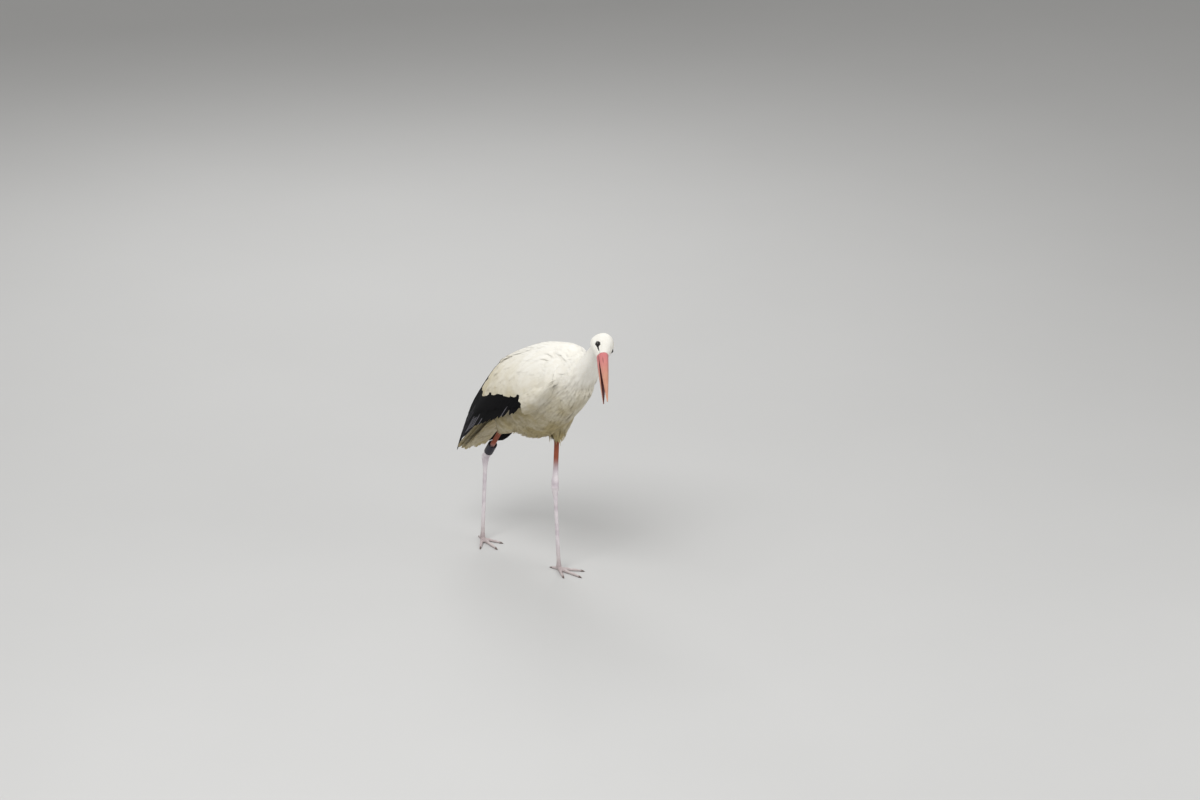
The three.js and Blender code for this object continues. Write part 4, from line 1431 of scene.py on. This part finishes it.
rank, hand = np.repeat(np.arange(6), 2), np.tile([-1, 1], 6)
tail_layer("tail_feathers", 0.12, 0.985 - 0.024 * rank, hand * (1.5 + 2.2 * rank), hand * (3 + 5.4 * rank),
           8 - 1.2 * rank, 0.9 - 0.45 * rank, 15, 81, replaces=("tail",), columns=6, point=0.1,
           camber=0.06, overlap=0.02, ragged=0.02)
hand = np.tile([-1, 1], 2)
tail_layer("tail_sides", [0.22, 0.22, 0.3, 0.3], [0.88, 0.88, 0.83, 0.83], hand * 38,
           hand * [36, 36, 41, 41], 2.0, 3.5, 12, 85, columns=6, point=0.2, camber=0.08, overlap=0.0,
           ragged=0.02)
cover = np.random.default_rng(82)
top_t, under_t = cover.uniform(-0.02, 0.34, 46), cover.uniform(-0.02, 0.5, 90)
top_x, under_x = cover.uniform(-1, 1, 46), cover.uniform(-1, 1, 90)
tail_layer("tail_coverts", top_t, top_t + 0.3, top_x * 22, top_x * 30, 22 - 50 * top_t, 7 - 8 * top_t, 10, 83,
           steps=5)
tail_layer("vent_plumes", under_t, under_t + 0.36, under_x * 24, under_x * 34, -20 + 24 * under_t,
           -17 + 14 * under_t, 9, 84, steps=5, down=True, point=0.6)

# %% [markdown]
# Skin that shows
#
# Most of the skin is hidden. What shows is the black naked skin round the eye, the red shins above
# the ankles, and the pale shins and feet below, white with dried droppings as on any stork in summer.
# The legs wear small many-sided scales, which we raise with a Voronoi pattern.

# %% Values that the skin's paint reads
PALE_TOP = {"left": 262.0, "right": 250.0}      # height where each shin begins to redden, in mm
REDDENS_OVER = 38.0


def region_is(*starts):
    """1.0 at points of the skin whose region's name starts in one of these ways."""
    return np.isin(skin_region, [i for i, name in enumerate(REGIONS) if name.startswith(starts)]) * 1.0


pale_top = np.where(drawn(skin_points)[:, 0] > -60, PALE_TOP["left"], PALE_TOP["right"])
face = smoothstep(face_distance(skin_points), -2.2, -0.6) * region_is("head")
leg_red = region_is("tibia") * smoothstep(skin_points[:, 2] / MM, pale_top, pale_top + REDDENS_OVER)
wing_black = region_is("wing") * np.maximum(
    smoothstep(skin_share - 0.93 * black_border(skin_t), -0.16, -0.1), smoothstep(skin_t, 0.56, 0.59))
skin_values = {"face": shared(face, 1), "leg": shared(region_is("tibia", "tarsus", "toe"), 2),
               "red": shared(leg_red, 3), "black": shared(wing_black, 2)}
print("bare face:", int((face > 0.5).sum()), "points")

# %% Skin paint
SKIN_WHITE = colour("e4dccb")
FACE_BLACK = colour("161213")
LEG_RED = colour("9b5037")
LEG_DEEP_RED = colour("70351f")
LEG_PALE = colour("e6dfe3")
LEG_LILAC = colour("b7a9b4")
LEG_DUST = colour("8f7c6a")


def skin_paint():
    """One material for the whole skin: where each colour lies comes from the skin's own values."""
    paint = Paint("skin", Roughness=0.62, Specular_IOR_Level=0.35)
    place = paint.place()
    fine = paint.noise(place, 260.0, 3.0)
    broad = paint.noise(place, 34.0, 3.0).smooth(0.35, 0.68)
    scales = paint.node("ShaderNodeTexVoronoi", {"feature": "DISTANCE_TO_EDGE"},
                        {"Vector": place, "Scale": 380.0, "Randomness": 0.8})
    seams = 1 - scales.smooth(0.02, 0.16)
    leg, red = paint.attribute("leg"), paint.attribute("red")
    pale = paint.mix(broad * 0.6, LEG_PALE, LEG_LILAC)
    dusty = paint.mix(seams * 0.16 + (1 - place_mask(paint, "Z", 0.0, 0.09)) * 0.4, pale, LEG_DUST)
    bloody = paint.mix((broad * 0.5 + seams * 0.25).clamped(), LEG_RED, LEG_DEEP_RED)
    legs = paint.mix(red, dusty, bloody)
    # the skin's white takes the plumage colour, with its stain and painted shade low on the body
    under = paint.mix(fine * 0.3, plumage_stain_and_shade(paint), SKIN_WHITE)
    marked = paint.mix(paint.attribute("black"), under, BLACK)
    body = paint.mix(leg, marked, legs)
    whole = paint.mix(paint.attribute("face"), body, paint.mix(fine, FACE_BLACK, colour("2b2324")))
    raised = paint.bump(scales.smooth(0.0, 0.22) * leg, 0.0003, 0.7)
    wrinkled = paint.bump(fine, 0.0003, 0.4, raised)
    return paint.set(Base_Color=whole, Normal=wrinkled)


skin_finish = skin_paint()
print("the skin's paint has", len(skin_finish.node_tree.nodes), "nodes")

# %% [markdown]
# Eyelids
#
# Bare black lids ring the eye, and are part of the skin. They hug the ball and run out flat to the
# skin over fine creases, and their front corner is drawn out towards the bill. A ring that is worked
# out round the eye's own axis fits the ball closely, which the coarse skin alone would not.

# %% The skin as one piece, with its lids
LID = {"inner": 4.75, "outer": 7.3, "corner": 0.3}      # radii of the lids, and how far the corner goes
BALL_RADIUS = EYE_RADIUS - 0.35                         # the ball, without the bulge of its cornea


def eye_frame(side):
    """The eye's middle, its axis, square to the side of the head, and two directions across it, all
    as (ahead, left, up)."""
    axis = unit(np.array([0.33, 0.9 * side, 0.28]))
    first = unit(np.array([1.0, 0, 0]) - axis * axis[0])
    return np.array([-EYE_BACK, EYE_OUT * side, EYE_UP]), axis, first, np.cross(axis, first)


def lid(side):
    """The bare lids of one eye as one closed ring. Across, it runs from the ball's surface out to the
    skin, over creases; round the eye, its front corner is drawn out towards the bill. The height of
    the skin is smoothed to four waves round the eye."""
    turn, ring = circle(120)[:, None], circle(24)[None, :]
    centre, axis, first, second = eye_frame(side)
    across = first * 1.05 * np.cos(turn) + second * 0.97 * np.sin(turn)
    outer = LID["outer"] * (1 + LID["corner"] * np.maximum(np.cos(turn), 0) ** 3)
    rim = on_head(*(centre + across * outer + axis * 2.4).T)
    found = off_head(skin_points[nearest(skin_tree, metres(rim))])
    level = (np.stack(found, -1) - centre) @ axis
    waves = np.fft.rfft(level)
    waves[5:] = 0
    level = np.fft.irfft(waves, len(level))[:, None]
    share = 0.5 - 0.5 * np.cos(ring)
    away = LID["inner"] + (outer - LID["inner"]) * share
    inside = np.sqrt(BALL_RADIUS ** 2 - LID["inner"] ** 2) + 0.15
    middle = inside + (level - 0.25 - inside) * share ** 1.3
    creased = 1 + 0.45 * np.cos(5 * np.pi * share) + 0.12 * np.sin(37 * turn)
    rise = middle + np.where(np.sin(ring) > 0, 0.38 * creased, 0.9) * np.sin(ring)
    point = centre + axis * rise[..., None] + across[:, None] * away[..., None]
    return on_head(*np.moveaxis(point, -1, 0))


def closed_ring(rings):
    """Points and triangles of a ring that closes on itself both ways."""
    count, sides = rings.shape[:2]
    i, j = np.meshgrid(np.arange(count), np.arange(sides), indexing="ij")
    a, b = i * sides + j, i * sides + (j + 1) % sides
    c, d = (i + 1) % count * sides + (j + 1) % sides, (i + 1) % count * sides + j
    faces = np.stack([a, b, c, a, c, d], -1).reshape(-1, 3)
    return outward(rings.reshape(-1, 3), faces)


lids = [closed_ring(lid(side)) for side in (1, -1)]
lid_points, lid_faces = joined(lids)
whole_points, whole_faces = joined([(skin_points, skin_faces), (metres(lid_points), lid_faces)])
whole_values = {name: np.concatenate([values, np.full(len(lid_points), float(name == "face"))])
                for name, values in skin_values.items()}
flesh = [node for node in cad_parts
         if node.startswith(("head", "neck", "trunk", "thigh", "tibia", "tarsus", "toe"))
         or node.endswith("coverts")]
piece(mesh_data("skin", whole_points, whole_faces, values=whole_values), skin_finish, "plumage_white",
      flesh)
print("skin replaces", len(flesh), "nodes, with", len(lids), "lids")

# %% [markdown]
# Eyes, bill, nails and ring
#
# The eye is dark, a wet ball with a clear bulge over a barely lighter iris. The bill is two long
# cones of horn, flat where they meet, with a ridge along the top, a slit of a nostril and a groove.
# Each is a closed surface of two parameters again.

# %% Eyes
def eyeball(side):
    """A ball with its pole along the eye's axis, and a cornea that stands 0.35 mm proud of it: radius
    = R + 0.35 x ((cosine of the angle off the axis - 0.6) / 0.4)^2, where that cosine is over 0.6."""
    polar, turn = np.linspace(0.001, np.pi - 0.001, 40)[:, None], circle(48)[None, :]
    bulge = (np.maximum(np.cos(polar) - 0.6, 0) / 0.4) ** 2
    radius = BALL_RADIUS + (EYE_RADIUS - BALL_RADIUS) * bulge
    centre, axis, first, second = eye_frame(side)
    out = (np.cos(polar)[..., None] * axis + (np.sin(polar) * np.cos(turn))[..., None] * first
           + (np.sin(polar) * np.sin(turn))[..., None] * second)
    points, faces = tube(on_head(*np.moveaxis(radius[..., None] * out + centre, -1, 0)))
    off_axis = np.concatenate([np.repeat(polar.ravel(), turn.size), [0, np.pi]])
    return metres(points), faces, {"off_axis": off_axis}


def eye_paint():
    """Wet and dark: a black pupil, a flecked iris hardly lighter, and a dark white of the eye, each
    from its angle off the axis."""
    paint = Paint("eye", Roughness=0.05, Specular_IOR_Level=0.42)
    off = paint.attribute("off_axis")
    flecks = paint.noise(paint.place(), 900.0, 2.0)
    iris = paint.mix(flecks, colour("0e0a09"), colour("1e1511"))
    pupil = paint.mix(off.smooth(0.40, 0.46), colour("050505"), iris)
    return paint.set(Base_Color=paint.mix(off.smooth(1.02, 1.1), pupil, colour("1a1414")))


wet = eye_paint()
for side, sign in SIGN.items():
    points, faces, values = eyeball(sign)
    piece(mesh_data("eyeball_" + side, points, faces, values=values), wet, "eye_dark", ("eye_" + side,))
print("two eyeballs of", len(faces), "triangles each")

# %% The bill
RINGS, ACROSS = 90, 41          # steps along a mandible, and across its outer side
NOSTRIL = 25.0                  # its distance from the feathers, in mm


def mandible(side):
    """One mandible. Across, x = half x cosine and height x sine^0.8; both taper as 1 - t^1.3 towards
    the tip. The upper has a ridge, a nostril slit and the groove that runs on from it."""
    upper = side > 0
    depth = UPPER_BILL_DEPTH if upper else LOWER_BILL_DEPTH
    t = np.linspace(0, 1, RINGS)[:, None]
    angle = np.linspace(0, np.pi, ACROSS)[None, :]
    reach = BILL_LENGTH * (1 if upper else 0.975)
    away = -7 + (reach + 7) * t
    taper = 1 - t ** 1.3
    half = 1.1 + (BILL_WIDTH / 2 - 1.1) * taper
    height = 1.4 + (depth - 1.4) * taper ** 0.95
    sine = np.sin(angle)
    if upper:
        slit = 1.2 * np.exp(-((away - NOSTRIL) / 8.5) ** 4)
        trail = 0.3 * np.exp(-np.maximum(away - NOSTRIL, 0) / 28) * smoothstep(away, 8, 18)
        dent = np.exp(-((sine - 0.66) / 0.06) ** 2) * (slit + trail)
        ridge = 0.5 * np.exp(-((angle - np.pi / 2) / 0.16) ** 2) * taper
    else:
        dent = 0.5 * np.exp(-((angle - np.pi / 2) / 0.12) ** 2) * smoothstep(0.5 - t, 0, 0.4)
        ridge = 0
    hang = math.tan(0 if upper else GAPE_ANGLE) * np.maximum(away, 0) + 0.2
    across = (half - dent * np.abs(np.cos(angle))) * np.cos(angle)
    rise = hang + (height - dent + ridge) * np.maximum(sine, 0) ** 0.8
    outside = on_head(away + 0 * angle, across, side * rise)
    back = -np.cos(angle[:, 1:-1])
    inside = on_head(away + 0 * back, 0.98 * half * back, side * (hang + 0.35 * (1 - back ** 2) * taper))
    points, faces = tube(np.concatenate([outside, inside], axis=1))

    def per_point(outer, inner):
        """One number for each point: the rings' outer and inner sides, and 0 for both ends."""
        inner = np.broadcast_to(inner, (RINGS, ACROSS - 2))
        both = np.hstack([np.broadcast_to(outer, (RINGS, ACROSS)), inner])
        return np.append(both.ravel(), [0, 0])

    local = points - BILL_BASE
    return metres(points), faces, {"along": local @ HEAD_AHEAD, "inside": per_point(0.0, 1.0),
                                   "dent": per_point(dent, 0.0), "across": local @ HEAD_LEFT,
                                   "over": local @ HEAD_UP}


def bill_paint():
    """Salmon horn, redder at the base and paler towards the tip, with fine lengthwise grain, and painted
    shade in the nostril slit and the grooves.
    """
    paint = Paint("bill", Roughness=0.42, Specular_IOR_Level=0.45)
    along = paint.attribute("along")
    stretched = {0: along * 0.04, 1: paint.attribute("across") * 0.45, 2: paint.attribute("over") * 0.45}
    grain = paint.noise(paint.node("ShaderNodeCombineXYZ", None, stretched), 1.0, 4.0)
    blotch = paint.noise(paint.place(), 60.0, 2.0)
    base = paint.mix(along.smooth(0.0, 90.0), colour("c87779"), colour("bd8a72"))
    streaked = paint.mix(grain.smooth(0.45, 0.75) * 0.35, base, colour("b5605a"))
    aged = paint.mix(blotch.smooth(0.5, 0.75) * 0.3, streaked, colour("e0ac98"))
    tip = paint.mix(along.smooth(120.0, 152.0) * 0.5, aged, colour("c98a6c"))
    root = paint.mix((1 - along.smooth(-3.0, 4.0)) * 0.4, tip, colour("8a4440"))
    # painted shade: the nostril slit and the grooves are darkened by their depth
    slit = paint.mix((paint.attribute("dent") * 0.5).clamped(), root, colour("4a201c"))
    mouth = paint.mix(paint.attribute("inside").smooth(0.2, 0.9), slit, colour("4a1d1b"))
    return paint.set(Base_Color=mouth, Normal=paint.bump(grain, 0.0003, 0.5))


horn = bill_paint()
for name, side in (("bill_upper", 1), ("bill_lower", -1)):
    points, faces, values = mandible(side)
    piece(mesh_data(name + "_horn", points, faces, values=values), horn, "bill_red", (name,))
print("bill made,", BILL_LENGTH, "mm long")

# %% Nails and the ring
def nail(leg, toe):
    """A flat nail like a fingernail, as storks have, that tapers as share^1.5."""
    length, half_toe, turn = TOES[toe]
    ahead, across = toe_frame(leg, turn)
    t, angle = np.linspace(0, 1, 14)[:, None], circle(20)[None, :]
    rounded = np.sqrt(1 - 0.9 * t ** 6)
    half = half_toe * (0.52 - 0.38 * t ** 1.5) * rounded
    height = (4.4 - 3.2 * t ** 1.5) * rounded
    rise = 0.5 + height * np.maximum(np.sin(angle), 0) ** 0.8
    middle = np.array(leg["foot"] + (0,), float) + ahead * (length - CLAW_LENGTH * (1 - t))[..., None]
    return tube(middle + across * (half * np.cos(angle))[..., None] + UP * rise[..., None])


def nail_paint():
    """Dark horn, worn paler in patches."""
    paint = Paint("nail", Roughness=0.45)
    worn = paint.noise(paint.place(), 400.0, 3.0).smooth(0.35, 0.7)
    return paint.set(Base_Color=paint.mix(worn, colour("4a3a36"), colour("7b6a60")),
                     Normal=paint.bump(worn, 0.0002, 0.5))


horn_dark = nail_paint()
for side, leg in LEGS.items():
    for toe in TOES:
        points, faces = nail(leg, toe)
        name = f"claw_{side}_{toe}"
        piece(mesh_data(name + "_nail", metres(points), faces), horn_dark, "claw_dark", (name,))


def ring_surface():
    """The ring's section, an upright bar with rounded outer edges, turned round the shin."""
    inner, outer, edge = 9.4, 11.6, 0.7
    corner = np.linspace(0, np.pi / 2, 7)
    arc = np.column_stack([np.sin(corner), 1 - np.cos(corner)]) * edge
    section = np.vstack([
        np.column_stack([outer - edge + arc[:, 0], arc[:, 1]]),
        np.column_stack([outer - arc[:, 1], RING_HEIGHT - edge + arc[:, 0]]),
        [[inner, RING_HEIGHT], [inner, 0]]])
    turn = circle(72)[:, None]
    first = unit(np.cross(shin, [0, 1.0, 0]))
    out = np.cos(turn) * first + np.sin(turn) * np.cross(shin, first)
    foot = RIGHT_ANKLE + shin * RING_ABOVE_ANKLE
    return foot + out[:, None] * section[None, :, :1] + shin * section[None, :, 1:]


def ring_paint():
    """Dark plastic, scuffed in patches and dulled by weather."""
    paint = Paint("leg ring", Roughness=0.38, Specular_IOR_Level=0.35)
    scuff = paint.noise(paint.place(), 180.0, 5.0, 0.7).smooth(0.52, 0.7)
    dull = paint.noise(paint.place(), 45.0, 2.0)
    base = paint.mix(dull, colour("15131f"), colour("1e1b29"))
    return paint.set(Base_Color=paint.mix(scuff * 0.4, base, colour("4a4652")),
                     Roughness=0.34 + 0.3 * scuff, Normal=paint.bump(scuff, 0.0001, 0.4))


ring_points, ring_faces = closed_ring(ring_surface())
piece(mesh_data("ring_band", metres(ring_points), ring_faces), ring_paint(), "ring_dark", ("leg_ring",))
print("nails:", len(LEGS) * len(TOES), "and one ring")
